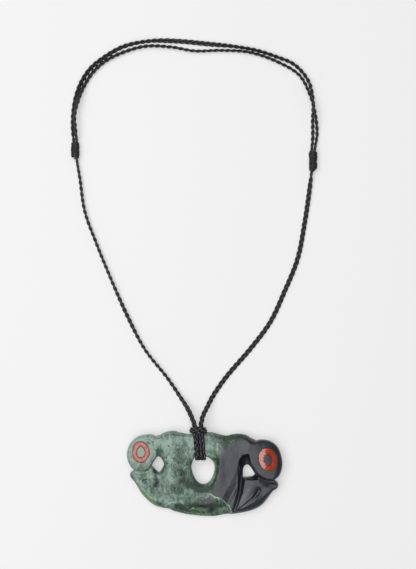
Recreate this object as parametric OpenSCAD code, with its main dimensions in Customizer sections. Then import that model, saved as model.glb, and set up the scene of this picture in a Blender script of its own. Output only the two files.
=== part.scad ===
// A flat carved greenstone pendant, a bat with a head at each end, on an adjustable plaited cord.
// It lies face up with the neck end of the cord along +Y. The stone leans a little, because its
// lower edge rests on the surface and its upper part rests on the cord that passes behind it.
// The origin is on the surface, below the middle of the stone. +X runs along the stone, +Z is up.

/* [Stone] */
// Width of the stone over both heads
stone_w = 90; // [80:1:100]
// Thickness at the two eye discs
stone_t = 8; // [7.6:0.1:8.4]
// Width of the rounded edges, as a share of the carved ones
edge_softness = 1; // [0.8:0.05:1]
// Depth of the engraved lines on the jaws
engraving = 0.5; // [0.3:0.1:0.7]

/* [Eyes] */
// Depth of the groove that each red ring fills
eye_groove = 0.9; // [0.6:0.1:1.2]
// Height of each red ring above its disc
eye_proud = 0.25; // [0.1:0.05:0.4]
// Gap all round each ring in its groove
eye_gap = 0.08; // [0.05:0.01:0.12]

/* [Cord] */
// Width of the flat plait
cord_w = 3.0; // [2.6:0.1:3.0]
// Thickness of the flat plait
cord_t = 1.7; // [1.4:0.1:1.7]
// Gap between the plait and what it lies against
cord_gap = 0.1; // [0.08:0.01:0.12]

/* [Sliding wraps] */
// Thickness of the wound thread
thread_t = 0.5; // [0.4:0.05:0.6]
// Distance from one turn of the thread to the next
thread_pitch = 1.0; // [0.8:0.1:1.4]
// Depth of the groove between two turns
thread_groove = 0.15; // [0.1:0.05:0.2]

/* [Hidden] */

// Every table below is drawn for a stone 90 wide
unit = stone_w / 90;
$fn = 48;

// Rows of an outline are [x, y, soft, corner]: a point, the width of the rounded edge there, and 1 if
// the outline turns sharply at it. It runs counter-clockwise, and curves through the other points.
left_disc = [
    [-28.4, 21.8, 2.4],
    [-32.4, 23.0, 1.8],
    [-39.2, 21.5, 1.8],
    [-43.9, 16.7, 1.8],
    [-45.1, 10.8, 1.8],
    [-43.4, 5.4, 1.6],
    [-40.4, 2.7, 1.0],
    [-35.5, 2.3, 0.7],
    [-31.0, 4.8, 0.7],
    [-28.4, 9.2, 0.8],
    [-27.3, 14.6, 1.0],
    [-27.2, 18.4, 2.2]
];
right_disc = [
    [29.8, 19.3, 2.2],
    [26.6, 16.8, 2.2],
    [25.2, 12.2, 1.0],
    [26.9, 6.2, 0.7],
    [29.8, 1.5, 0.7],
    [33.4, -1.5, 0.7],
    [37.0, -2.9, 0.7],
    [40.2, -3.0, 0.9],
    [43.2, -0.8, 2.0],
    [44.95, 4.2, 2.8],
    [44.75, 9.6, 3.0],
    [42.4, 15.7, 3.0],
    [38.2, 19.1, 2.8],
    [33.2, 20.0, 2.4]
];
// The body with both jaws: the rows between a jaw and the body's top lie inside a disc
body = [
    [-9.4, 23.2, 3.0],
    [-13.2, 23.8, 3.0],
    [-18.3, 25.0, 3.0],
    [-22.4, 24.3, 3.0],
    [-26.0, 22.7, 2.6],
    [-28.2, 21.9, 2.4],
    [-33.0, 18.0, 1.0, 1],
    [-37.5, 12.0, 1.0, 1],
    [-37.5, 5.0, 1.0, 1],
    [-39.8, 3.3, 0.8],
    [-42.0, 1.6, 0.8],
    [-43.5, 0.0, 0.8],
    [-43.1, -1.9, 1.0],
    [-40.5, -5.2, 1.8],
    [-36.0, -12.5, 2.0],
    [-30.3, -17.8, 2.2],
    [-25.5, -19.8, 2.2],
    [-21.0, -20.5, 2.2],
    [-17.5, -22.1, 2.6],
    [-7.9, -24.2, 3.0],
    [5.0, -25.0, 2.8],
    [12.7, -23.6, 2.0],
    [16.2, -23.6, 2.0],
    [26.4, -21.7, 2.0],
    [32.9, -18.6, 2.0],
    [36.7, -14.3, 2.0],
    [39.9, -10.0, 1.4],
    [42.2, -8.5, 0.9],
    [42.9, -6.0, 0.9],
    [41.0, -3.6, 0.8],
    [39.0, -1.0, 0.8, 1],
    [37.0, 8.0, 1.0, 1],
    [32.5, 16.5, 1.0, 1],
    [29.7, 19.5, 2.2],
    [26.9, 21.0, 2.8],
    [24.0, 22.6, 3.0],
    [20.4, 23.3, 3.0],
    [16.2, 23.0, 3.0],
    [12.4, 22.2, 3.0],
    [3.4, 24.2, 3.0]
];

// Holes, in the same rows: the soft column is how far each one flares open at the faces
middle_hole = [
    [1.2, 10.1, 2.0],
    [-5.4, 10.1, 2.0],
    [-6.5, 8.6, 2.0],
    [-7.3, 6.4, 2.2],
    [-7.7, 3.2, 2.2],
    [-6.3, -1.4, 2.0],
    [-3.9, -4.9, 1.8],
    [-0.7, -6.1, 1.8],
    [2.7, -4.6, 2.4],
    [4.9, -0.9, 2.7],
    [5.8, 3.4, 2.7],
    [5.3, 6.4, 2.4],
    [3.4, 8.9, 2.2]
];
left_hole = [
    [-26.9, 10.3, 0.5],
    [-28.2, 9.3, 0.4],
    [-30.9, 4.9, 0.4, 1],
    [-27.6, 1.4, 0.8],
    [-26.5, 0.9, 0.8],
    [-25.6, 1.7, 1.0],
    [-23.8, 5.2, 1.0],
    [-23.9, 6.9, 0.8],
    [-25.5, 9.6, 0.6]
];
right_hole = [
    [24.9, 5.4, 0.6],
    [23.2, 4.8, 0.8],
    [22.3, 2.6, 0.8],
    [22.3, -2.1, 0.8, 1],
    [27.6, -1.6, 0.7],
    [29.0, -0.6, 0.6],
    [28.6, 0.9, 0.4],
    [26.2, 4.6, 0.4]
];

// Rows of a rounded edge are [height, inset] as shares of the thickness and of the soft width
plate_edge = [[0, 0.45], [0.04, 0.2], [0.12, 0.04], [0.24, 0], [0.48, 0.03], [0.66, 0.14],
              [0.82, 0.34], [0.94, 0.64], [1, 1]];
disc_edge = [[0.01, 0.6], [0.05, 0.25], [0.12, 0.05], [0.24, 0], [0.7, 0], [0.85, 0.13],
             [0.94, 0.38], [0.985, 0.7], [1, 1]];
hole_edge = [[-0.2, -0.5], [0.02, -0.3], [0.1, -0.08], [0.2, 0], [0.45, 0], [0.65, -0.25],
             [0.82, -0.62], [0.95, -1.1], [1.2, -2.2]];

// Level of the body's face before the swells, the distance between its corners, and the rows of the swells:
// [x, y, half length, half width, turn, rise]
face_level = 7.0;
face_step = 2.06;
swells = [
    [-18.5, 3, 22, 6.0, 90, 0.7],
    [-18.0, 21, 7, 5.0, 0, 0.2],
    [-31.0, 18, 7, 5.0, 90, 0.9],
    [-26.5, 15, 5, 1.8, 90, -0.5],
    [-36.0, -6, 13, 5.0, 120, -0.5],
    [-42.0, -1, 4, 3.0, 40, -0.7],
    [-31.0, -14, 9, 3.0, -42, -0.3],
    [8.5, 5, 12, 3.0, 90, 0.5],
    [15.0, 6, 12, 5.0, 100, 0.3],
    [22.0, 20, 7, 4.0, -10, 0.2],
    [31.0, 16, 7, 5.0, 90, 0.9],
    [25.6, 15, 4, 2.0, 90, -0.3],
    [0.0, -15, 16, 6.0, 0, 0.2],
    [24.5, -10, 10, 4.0, 65, 0.2],
    [36.0, -9, 8, 6.0, 40, -0.9],
    [42.0, -7, 4, 3.0, 0, -0.6]
];

// Cuts in the face, as the hull of pins whose feet are rows of [x, y, z]
left_hollow = [[-26.8, 15.6, 7.0], [-28.4, 10.6, 4.6], [-25.4, 11.0, 4.4], [-26.8, 9.4, 3.4]];
right_hollow = [[24.6, 11.4, 5.2], [21.8, 9.4, 4.6], [20.4, 5.0, 4.2], [20.6, -2.0, 3.6],
                [25.6, 5.0, 3.2], [23.2, -1.4, 3.0]];
right_facet = [[19.6, 7.6, 7.4], [17.5, 0.6, 7.3], [15.1, -3.9, 7.2], [13.0, -9.0, 7.2],
               [20.8, 2.0, 6.4], [19.6, -15.0, 6.6]];

// Grooves in the face, as rows of [x, y, depth, radius] for the round-nosed pin that cuts them
body_to_right_jaw = [[21.0, 0, 2.2, 1.3], [20.8, -4, 2.0, 1.2], [19.7, -14.4, 1.3, 1.0], [17.4, -19.6, 0.4, 0.7]];
body_to_left_jaw = [[-26.6, 1.4, 1.1, 0.9], [-27.3, -6, 0.6, 1.0], [-26.6, -17, 0.2, 0.8]];
left_lip = [[-41.0, 2.2, 0.5, 0.6], [-35.4, 1.6, 0.5, 0.6], [-30.6, 3.9, 0.6, 0.7]];
right_lip = [[29.4, 0.2, 0.9, 0.8], [33.0, -2.3, 0.8, 0.7], [36.8, -3.7, 0.7, 0.7], [40.6, -3.8, 0.6, 0.7]];
left_engraved_eye = [-34.0, -4.3, 1.9];
left_engraved_lines = [[[-35.3, -7.6], [-29.7, -13.9]], [[-31.8, -6.7], [-31.0, -10.5]]];
right_engraved_leaf = [[31.2, -10.4, 1.0, 1.5], [25.6, -14.8, 0.8, 1.2], [21.2, -18.2, 0.3, 0.6]];

// Eye rings: [x, y, half width, half height, turn] of the outer and of the inner oval
left_eye = [[-36.9, 12.8, 5.1, 6.3, 0], [-37.0, 12.7, 2.2, 3.1, 0]];
right_eye = [[36.6, 8.5, 5.1, 6.8, 16], [36.9, 8.2, 2.2, 3.3, 10]];
// Outline across a ring: [share of the way outwards, height above the disc]
ring_section = [[1, -eye_groove], [0, -eye_groove], [0, 0], [0.15, 0.7 * eye_proud], [0.5, eye_proud],
                [0.85, 0.7 * eye_proud], [1, 0]];
groove_section = [[1, -eye_groove - eye_gap], [0, -eye_groove - eye_gap], [0, 1], [1, 1]];

// Section of the plait, in halves of its width and thickness
plait = [[1, 0.45], [0.68, 1], [-0.68, 1], [-1, 0.45], [-1, -0.45], [-0.68, -1], [0.68, -1], [1, -0.45]];

// The hitch is alike on both sides of a middle line that slants from its upper to its lower end.
// Rows from the middle of its bight round the back, through the hole and up the front to its end:
// [distance from the middle line, y, height in the stone's frame, direction that the flat side faces]
hitch_middle = [[-4.4, 34], [-2.4, 9]];
behind = -cord_gap - cord_t / 2;
in_hole = 10.0 - cord_gap - cord_t / 2;
hitch_half = [
    [2.0, 26.8, 9.4, [0.1, 0, 1]],
    [3.5, 26.2, 8.5, [0.8, 0, 0.6]],
    [4.1, 26.0, 5.6, [1, 0.2, 0]],
    [4.0, 25.8, 2.2, [0.8, 0.6, 0]],
    [3.2, 25.1, 0, [0.2, 0.7, -0.7]],
    [2.4, 23.2, behind, [0, 0, -1]],
    [1.6, 11.4, behind, [0, -0.1, -1]],
    [1.6, 9.7, -0.7, [0, -0.6, -0.8]],
    [1.6, in_hole, 0.8, [0, -1, -0.1]],
    [1.6, in_hole, 5.8, [0, -1, 0.1]],
    [1.6, 9.9, 7.6, [0, -0.7, 0.7]],
    [1.6, 12.0, 8.1, [0, -0.1, 1]],
    [1.6, 23.6, 8.0, [0, 0.1, 1]],
    [1.9, 29.2, 6.7, [0, 0.3, 1]],
    [3.4, 34.0, 4.6, [0, 0.4, 1]]
];

// Routes of the two cords from the hitch to their ends in the opposite wraps, over the neck end:
// [x, y, height of the underside, turn of the flat side], with 90 for a plait that stands on edge
left_wrap = [-75.5, 183.5, 193.0];
right_wrap = [63.2, 176.4, 187.8];
wrapped = thread_t + cord_gap;
beside = (cord_t + cord_gap) / 2;
left_route = [
    [-10.2, 38.4, 3.6, 20],
    [-14.2, 44.4, 0.8, 45],
    [-22.0, 55.8, 0, 60],
    [-34.8, 72.0, 0, 85],
    [-45.0, 91.4, 0, 45],
    [-54.6, 113.0, 0, 80],
    [-63.2, 134.0, 0, 90],
    [-70.0, 152.8, 0, 90],
    [-72.8, 171.5, 0, 90],
    [left_wrap.x + beside, left_wrap.y, wrapped, 90],
    [left_wrap.x + beside, left_wrap[2], wrapped, 90],
    [-75.1, 199.5, 2.6, 85],
    [-75.8, 208.3, 3.0, 50],
    [-73.6, 217.6, 2.4, 70],
    [-70.2, 226.3, 0, 90],
    [-64.6, 234.6, 0, 90],
    [-55.8, 241.8, 0, 90],
    [-36.0, 248.9, 0, 55],
    [-20.0, 248.7, 0, 60],
    [-6.0, 246.4, 0, 90],
    [10.0, 246.7, 0, 90],
    [26.4, 245.5, 0, 85],
    [43.0, 239.8, 0, 60],
    [55.0, 232.4, 0, 80],
    [61.2, 220.6, 3.2, 60],
    [64.2, 209.6, 3.2, 60],
    [65.6, 198.0, 0, 90],
    [right_wrap.x + beside, right_wrap[2], wrapped, 90],
    [right_wrap.x + beside, right_wrap.y + 1, wrapped, 90]
];
right_route = [
    [1.6, 39.0, 3.6, 0],
    [4.8, 45.0, 0.8, 0],
    [12.4, 55.9, 0, 0],
    [27.6, 73.7, 0, 0],
    [38.4, 88.4, 0, 0],
    [46.6, 106.0, 0, 0],
    [54.2, 125.0, 0, 0],
    [58.3, 145.7, 0, 0],
    [61.3, 166.5, 0, 50],
    [right_wrap.x - beside, right_wrap.y, wrapped, 90],
    [right_wrap.x - beside, right_wrap[2], wrapped, 90],
    [63.0, 195.0, 0, 90],
    [63.0, 206.0, 0, 90],
    [63.2, 217.5, 0, 90],
    [60.6, 228.6, 0, 90],
    [52.6, 238.2, 0, 90],
    [40.5, 243.5, 0, 90],
    [30.0, 246.8, 0, 90],
    [18.0, 248.9, 0, 80],
    [2.0, 250.5, 0, 20],
    [-16.0, 252.2, 0, 0],
    [-33.0, 252.1, 0, 60],
    [-48.0, 248.7, 0, 90],
    [-60.4, 241.5, 0, 90],
    [-67.0, 235.8, 0, 90],
    [-72.0, 228.2, 0, 90],
    [-75.2, 219.4, 0, 80],
    [-76.8, 209.5, 0, 50],
    [-77.0, 200.0, 0, 90],
    [left_wrap.x - beside, left_wrap[2], wrapped, 90],
    [left_wrap.x - beside, left_wrap.y + 1, wrapped, 90]
];

// The lean of the stone: its lower back edge is on the surface, and the cord behind it is under the
// upper edge of the middle hole
lean = asin((cord_t + 2 * cord_gap) / (35.0 * unit));
back_low = (25.05 - plate_edge[0][1] * 2.9 * edge_softness) * unit;
lean_lift = back_low * sin(lean);
lean_back = 0.12;

function lifted(p) = [p.x, p.y * cos(lean) - p.z * sin(lean) + lean_back,
                      p.y * sin(lean) + p.z * cos(lean) + lean_lift];
function leant(v) = [v.x, v.y * cos(lean) - v.z * sin(lean), v.y * sin(lean) + v.z * cos(lean)];
function mix(a, b, t) = a + (b - a) * t;
function flat(p) = [p.x, p.y];

// Points of an outline, [x, y, soft], on a curve that leaves each row along the line between its neighbours
function leaving(rows, i, long, other) =
    let (n = len(rows), d = flat(rows[(i + 1) % n]) - flat(rows[(i + n - 1) % n]))
    rows[i][3] == 1 ? other : d / norm(d) * long;
function outline(rows, step = 1.7) = [
    for (i = [0 : len(rows) - 1])
        let (k = (i + 1) % len(rows), a = rows[i], b = rows[k], d = flat(b) - flat(a), long = norm(d),
             n = max(1, round(long / step)), da = leaving(rows, i, long, d), db = leaving(rows, k, long, d))
        for (j = [0 : n - 1])
            let (t = j / n, u = 1 - t,
                 p = flat(a) + d * t * t * (3 - 2 * t) + da * t * u * u - db * t * t * u)
            [p.x * unit, p.y * unit, mix(a[2], b[2], t) * unit * edge_softness]
];

// Direction into the outline at corner i
function inward(points, i) =
    let (n = len(points), d = flat(points[(i + 1) % n]) - flat(points[(i + n - 1) % n]))
    [-d.y, d.x] / norm(d);

// Faces between rings of n points: the rings follow one another, and the ends are closed or joined
function band(n, rings, joined = false) = [
    for (r = [0 : rings - (joined ? 1 : 2)])
        for (i = [0 : n - 1])
            let (a = r * n + i, b = r * n + (i + 1) % n, c = ((r + 1) % rings) * n + i,
                 d = ((r + 1) % rings) * n + (i + 1) % n)
            each [[a, c, d], [a, d, b]]
];
function ends(n, rings) = [[for (i = [0 : n - 1]) i], [for (i = [n - 1 : -1 : 0]) (rings - 1) * n + i]];

// A plate, or a cutter for a hole, whose outline moves in or out with the height
module edged(rows, edge) {
    points = outline(rows);
    n = len(points);
    polyhedron(
        points = [
            for (e = edge) for (i = [0 : n - 1])
                let (p = flat(points[i]) + inward(points, i) * points[i][2] * e[1])
                [p.x, p.y, e[0] * stone_t]
        ],
        faces = concat(band(n, len(edge)), ends(n, len(edge)))
    );
}

function swell(x, y, s) =
    let (dx = x - s[0], dy = y - s[1], u = (dx * cos(s[4]) + dy * sin(s[4])) / s[2],
         v = (dy * cos(s[4]) - dx * sin(s[4])) / s[3])
    s[5] * exp(-u * u - v * v);
function sum(v, i = 0) = i == len(v) ? 0 : v[i] + sum(v, i + 1);
function face_height(x, y) = (face_level + sum([for (s = swells) swell(x, y, s)])) * stone_t / 8;

// A block under the body's face, with a corner every face_step
module face_block() {
    columns = 46;
    rows = 27;
    function place(i, j) = [(i - columns / 2) * face_step, (j - rows / 2) * face_step];
    top = [
        for (j = [0 : rows]) for (i = [0 : columns])
            let (p = place(i, j)) [p.x * unit, p.y * unit, face_height(p.x, p.y)]
    ];
    bottom = [for (j = [0, rows]) for (i = [0, columns]) let (p = place(i, j)) [p.x * unit, p.y * unit, -1]];
    w = columns + 1;
    b = len(top);
    squares = [
        for (j = [0 : rows - 1]) for (i = [0 : columns - 1])
            let (a = j * w + i)
            each [[a, a + w, a + w + 1], [a, a + w + 1, a + 1]]
    ];
    sides = [
        [for (i = [0 : columns]) i, b + 1, b],
        [for (i = [columns : -1 : 0]) rows * w + i, b + 2, b + 3],
        [for (j = [rows : -1 : 0]) j * w, b, b + 2],
        [for (j = [0 : rows]) j * w + columns, b + 3, b + 1],
        [b, b + 1, b + 3, b + 2]
    ];
    polyhedron(points = concat(top, bottom), faces = concat(squares, sides));
}

module pins(feet) {
    hull()
        for (p = feet)
            translate([p.x * unit, p.y * unit, p.z * stone_t / 8])
                cylinder(h = stone_t, r = 0.5 * unit, $fn = 8);
}

module groove(rows) {
    for (i = [0 : len(rows) - 2])
        hull()
            for (r = [rows[i], rows[i + 1]], up = [0, stone_t])
                translate([r.x * unit, r.y * unit, face_height(r.x, r.y) - r.z + r[3] + up])
                    sphere(r = r[3], $fn = 12);
}

// A fine line cut into the face between two points
module engraved_line(a, b) {
    groove([for (p = [a, b]) [p.x, p.y, engraving, engraving]]);
}

function oval(o, grow = 0, sides = 40) = [
    for (i = [0 : sides - 1])
        let (a = 360 * i / sides, x = (o[2] + grow) * cos(a), y = (o[3] + grow) * sin(a))
        [(o.x + x * cos(o[4]) - y * sin(o[4])) * unit, (o.y + x * sin(o[4]) + y * cos(o[4])) * unit]
];

// A ring between two ovals, with a closed section all the way round
module oval_ring(ovals, section, grow = 0) {
    outer = oval(ovals[0], grow);
    inner = oval(ovals[1], -grow);
    n = len(section);
    polyhedron(
        points = [
            for (i = [0 : len(outer) - 1]) for (s = section)
                let (p = mix(inner[i], outer[i], s[0])) [p.x, p.y, stone_t + s[1]]
        ],
        faces = band(n, len(outer), joined = true)
    );
}

module leaning() {
    translate([0, lean_back, lean_lift])
        rotate([lean, 0, 0])
            children();
}

module carved_face() {
    pins(left_hollow);
    pins(right_hollow);
    pins(right_facet);
    groove(body_to_right_jaw);
    groove(body_to_left_jaw);
    groove(right_engraved_leaf);
    for (l = left_engraved_lines)
        engraved_line(l[0], l[1]);
    translate([left_engraved_eye.x * unit, left_engraved_eye.y * unit,
               face_height(left_engraved_eye.x, left_engraved_eye.y)])
        rotate_extrude($fn = 20)
            translate([left_engraved_eye[2] * unit, 0])
                circle(r = engraving * unit, $fn = 6);
}

module greenstone_body() {
    color("#6f8d7a")
        leaning()
            difference() {
                union() {
                    difference() {
                        intersection() {
                            edged(body, plate_edge);
                            face_block();
                        }
                        carved_face();
                        groove(left_lip);
                        groove(right_lip);
                    }
                    edged(left_disc, disc_edge);
                    edged(right_disc, disc_edge);
                }
                edged(middle_hole, hole_edge);
                edged(left_hole, hole_edge);
                edged(right_hole, hole_edge);
                oval_ring(left_eye, groove_section, eye_gap);
                oval_ring(right_eye, groove_section, eye_gap);
            }
}

module eye_inlay(ovals) {
    leaning()
        oval_ring(ovals, ring_section);
}

module left_eye_inlay() {
    color("#c8595a") eye_inlay(left_eye);
}

module right_eye_inlay() {
    color("#b8472e") eye_inlay(right_eye);
}

// Half the height of a plait that is turned about its own length
function half_height(turn) = max([
    for (s = plait) abs(s.x * cord_w * sin(turn) + s.y * cord_t * cos(turn)) / 2
]);

// The section of a plait at p, which runs along a direction and whose flat side faces another
function section(p, along, faces) =
    let (side = cross(faces, along) / norm(cross(faces, along)), up = cross(along, side) / norm(along))
    [for (s = plait) p + side * s.x * cord_w / 2 + up * s.y * cord_t / 2];

function heading(points, i) =
    i == 0 ? points[1] - points[0] :
    i == len(points) - 1 ? points[i] - points[i - 1] :
    (points[i + 1] - points[i]) / norm(points[i + 1] - points[i]) +
    (points[i] - points[i - 1]) / norm(points[i] - points[i - 1]);

module swept(rings) {
    n = len(plait);
    polyhedron(points = [for (r = rings) each r], faces = concat(band(n, len(rings)), ends(n, len(rings))));
}

// Points and facings of the whole hitch from its left end to its right end
function hitch_line(y) =
    mix(hitch_middle[1].x, hitch_middle[0].x, (y - hitch_middle[1].y) / (hitch_middle[0].y - hitch_middle[1].y));
function hitch_point(row, side) = lifted([(hitch_line(row.y) + side * row.x) * unit, row.y * unit, row.z]);
function hitch_faces(row, side) = leant([side * row[3].x, row[3].y, row[3].z]);
last = len(hitch_half) - 1;
hitch_points = [
    for (i = [last : -1 : 0]) hitch_point(hitch_half[i], -1),
    for (i = [0 : last]) hitch_point(hitch_half[i], 1)
];
hitch_facings = [
    for (i = [last : -1 : 0]) hitch_faces(hitch_half[i], -1),
    for (i = [0 : last]) hitch_faces(hitch_half[i], 1)
];

module cord_hitch() {
    color("#2b2b2d")
        swept([
            for (i = [0 : len(hitch_points) - 1])
                section(hitch_points[i], heading(hitch_points, i), hitch_facings[i])
        ]);
}

// A free cord: it starts face to face with one end of the hitch and then follows its route
module free_cord(side, route) {
    end = side < 0 ? 0 : len(hitch_points) - 1;
    before = side < 0 ? 1 : end - 1;
    start = hitch_points[end];
    points = [start, for (r = route) [r.x * unit, r.y * unit, r.z + half_height(r[3])]];
    swept([
        section(start, start - hitch_points[before], hitch_facings[end]),
        for (i = [1 : len(points) - 1])
            let (along = heading(points, i), turn = route[i - 1][3], level = cross([0, 0, 1], along))
            section(points[i], along, [0, 0, 1] * cos(turn) + level / norm(level) * sin(turn))
    ]);
}

module left_cord() {
    color("#2b2b2d") free_cord(-1, left_route);
}

module right_cord() {
    color("#2b2b2d") free_cord(1, right_route);
}

// A wrap of thread round two plaits that stand on edge side by side, along +Y
module sliding_wrap(place) {
    slot = [2 * cord_t + 3 * cord_gap, cord_w + 2 * cord_gap];
    length = (place[2] - place.y) * unit;
    turns = round(length / thread_pitch);
    pitch = length / turns;
    corner = 0.5;
    module rounded(grow) {
        inner = slot - [2, 2] * corner;
        square(inner + [2 * (corner + grow), 0], center = true);
        square(inner + [0, 2 * (corner + grow)], center = true);
        for (x = [-1, 1], y = [-1, 1])
            translate([x * inner.x, y * inner.y] / 2)
                circle(r = corner + grow);
    }
    translate([place.x * unit, place[2] * unit, slot.y / 2 + thread_t])
        rotate([90, 0, 0])
            difference() {
                union() {
                    linear_extrude(length)
                        rounded(thread_t - thread_groove);
                    for (i = [0 : turns - 1])
                        translate([0, 0, (i + 0.1) * pitch])
                            linear_extrude(0.8 * pitch)
                                rounded(thread_t);
                }
                translate([0, 0, -1])
                    linear_extrude(length + 2)
                        rounded(0);
            }
}

module left_sliding_wrap() {
    color("#1f1f21") sliding_wrap(left_wrap);
}

module right_sliding_wrap() {
    color("#1f1f21") sliding_wrap(right_wrap);
}

greenstone_body();
left_eye_inlay();
right_eye_inlay();
cord_hitch();
left_cord();
right_cord();
left_sliding_wrap();
right_sliding_wrap();
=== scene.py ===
import math

import bpy
import numpy as np
from bpy.props import FloatProperty, FloatVectorProperty, IntProperty, PointerProperty
from bpy.types import Operator, Panel, PropertyGroup
from mathutils.geometry import delaunay_2d_cdt
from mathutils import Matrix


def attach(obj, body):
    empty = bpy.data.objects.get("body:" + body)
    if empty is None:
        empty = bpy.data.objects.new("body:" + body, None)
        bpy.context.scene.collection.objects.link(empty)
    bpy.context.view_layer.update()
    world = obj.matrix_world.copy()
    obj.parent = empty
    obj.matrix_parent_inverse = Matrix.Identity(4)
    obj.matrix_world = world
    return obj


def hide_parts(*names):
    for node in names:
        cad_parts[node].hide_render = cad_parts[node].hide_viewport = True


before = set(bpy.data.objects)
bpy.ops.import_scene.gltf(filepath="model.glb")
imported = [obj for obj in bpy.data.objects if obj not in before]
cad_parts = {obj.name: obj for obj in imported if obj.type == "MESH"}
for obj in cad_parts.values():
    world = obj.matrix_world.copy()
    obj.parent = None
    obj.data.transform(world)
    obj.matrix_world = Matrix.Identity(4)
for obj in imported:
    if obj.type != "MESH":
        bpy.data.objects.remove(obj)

bl_info = {
    "name": "Greenstone bat pendant",
    "version": (1, 0, 0),
    "blender": (4, 5, 0),
    "location": "3D View > Sidebar > Pendant",
    "description": "Carves, colours and lays out a greenstone pendant on its plaited cord",
    "category": "Object",
}

MM = 0.001

# ---------------------------------------------------------------------------------------------
# Sizes of the stone in millimetres. Rows of an outline are x, y, soft edge and, at a corner, 1.

LEFT_DISC = [
    (-28.4, 21.8, 1.6),
    (-32.4, 23.0, 1.4),
    (-39.2, 21.5, 1.4),
    (-43.9, 16.7, 1.4),
    (-45.1, 10.8, 1.5),
    (-43.4, 5.4, 1.5),
    (-40.4, 2.7, 1.1),
    (-35.5, 2.3, 0.8),
    (-31.0, 4.8, 0.7),
    (-28.4, 9.2, 0.8),
    (-27.3, 14.6, 1.0),
    (-27.2, 18.4, 1.8),
]
RIGHT_DISC = [
    (29.8, 19.3, 2.4),
    (26.6, 16.8, 2.2),
    (25.2, 12.2, 1.0),
    (26.9, 6.2, 0.7),
    (29.8, 1.5, 0.7),
    (33.4, -1.5, 0.7),
    (37.0, -2.9, 0.8),
    (40.2, -3.0, 1.4),
    (43.2, -0.8, 3.0),
    (44.95, 4.2, 3.8),
    (44.75, 9.6, 4.0),
    (42.4, 15.7, 5.0),
    (38.2, 19.1, 5.0),
    (33.2, 20.0, 4.2),
]
BODY = [
    (-9.4, 23.2, 1.6),
    (-13.2, 23.8, 1.5),
    (-18.3, 25.0, 1.5),
    (-22.4, 24.3, 1.5),
    (-26.0, 22.7, 1.6),
    (-28.2, 21.9, 1.8),
    (-33.0, 18.0, 1.0, 1),
    (-37.5, 12.0, 1.0, 1),
    (-37.5, 5.0, 1.0, 1),
    (-39.8, 3.3, 0.8),
    (-42.0, 1.6, 0.8),
    (-43.5, 0.0, 0.9),
    (-43.1, -1.9, 1.2),
    (-40.5, -5.2, 2.0),
    (-36.0, -12.5, 2.6),
    (-30.3, -17.8, 3.0),
    (-25.5, -19.8, 3.4),
    (-21.0, -20.5, 3.8),
    (-17.5, -22.1, 5.0),
    (-7.9, -24.2, 7.0),
    (5.0, -25.0, 7.0),
    (12.7, -23.6, 4.8),
    (16.2, -23.6, 3.8),
    (26.4, -21.7, 4.0),
    (32.9, -18.6, 4.4),
    (36.7, -14.3, 3.2),
    (39.9, -10.0, 1.7),
    (42.2, -8.5, 1.4),
    (42.9, -6.0, 1.2),
    (41.0, -3.6, 0.8),
    (39.0, -1.0, 0.8, 1),
    (37.0, 8.0, 1.0, 1),
    (32.5, 16.5, 1.0, 1),
    (29.7, 19.5, 2.4),
    (26.9, 21.0, 3.0),
    (24.0, 22.6, 3.4),
    (20.4, 23.3, 3.6),
    (16.2, 23.0, 3.4),
    (12.4, 22.2, 3.0),
    (3.4, 24.2, 2.0),
]
MIDDLE_HOLE = [
    (1.2, 10.1, 0.9),
    (-5.4, 10.1, 0.9),
    (-6.5, 8.6, 1.0),
    (-7.3, 6.4, 1.5),
    (-7.7, 3.2, 2.2),
    (-6.3, -1.4, 2.8),
    (-3.9, -4.9, 2.9),
    (-0.7, -6.1, 2.4),
    (2.7, -4.6, 2.0),
    (4.9, -0.9, 2.0),
    (5.8, 3.4, 1.8),
    (5.3, 6.4, 1.2),
    (3.4, 8.9, 0.9),
]
LEFT_HOLE = [
    (-26.9, 10.3, 0.5),
    (-28.2, 9.3, 0.4),
    (-30.9, 4.9, 0.4, 1),
    (-27.6, 1.4, 0.8),
    (-26.5, 0.9, 0.8),
    (-25.6, 1.7, 1.0),
    (-23.8, 5.2, 1.0),
    (-23.9, 6.9, 0.8),
    (-25.5, 9.6, 0.6),
]
RIGHT_HOLE = [
    (24.9, 5.4, 0.6),
    (23.2, 4.8, 0.8),
    (22.3, 2.6, 0.8),
    (22.3, -2.1, 0.35, 1),
    (27.6, -1.6, 0.25),
    (29.0, -0.6, 0.3),
    (28.6, 0.9, 0.4),
    (26.2, 4.6, 0.4),
]

THICK = 8.0
# Slope of the heights outside an outline
FALL = 20
# Height of the outline's edge as a share of the thickness
RIM = 0.24
# Rounded edges: share of the soft width from the edge, and height there as a share of the thickness
PLATE_EDGE = ([0, 0.03, 0.14, 0.34, 0.64, 1], [RIM, 0.48, 0.66, 0.82, 0.94, 1])
DISC_EDGE = ([0, 0.13, 0.38, 0.7, 1], [0.7, 0.85, 0.94, 0.985, 1])
HOLE_EDGE = ([0, 0.25, 0.7, 1.4, 2.2, 3.2], [0.5, 0.7, 0.83, 0.91, 0.98, 1.2])
# The steep bevel at the right of the middle hole, with its sharp upper ridge
BEVEL_RIDGE = [(8.9, 14), (8.9, 7), (8.5, 2.3), (7.3, -1.4), (5.7, -5.5), (3.5, -8.1), (0.2, -9.6)]
BEVEL_EDGE = ([0, 0.12, 0.42, 0.62, 0.88, 1], [3.4, 4.5, 5.0, 5.5, 6.9, 7.6])
# The back's rounded edges: height as a share of the thickness, and share of the soft width inwards
BACK_PLATE = ([RIM, 0.12, 0.04, 0.0], [0, 0.04, 0.2, 0.45])
BACK_HOLE = ([0.2, 0.1, 0.02, 0.0], [0, 0.08, 0.3, 0.35])
BACK_STEP = 1.2
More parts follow.
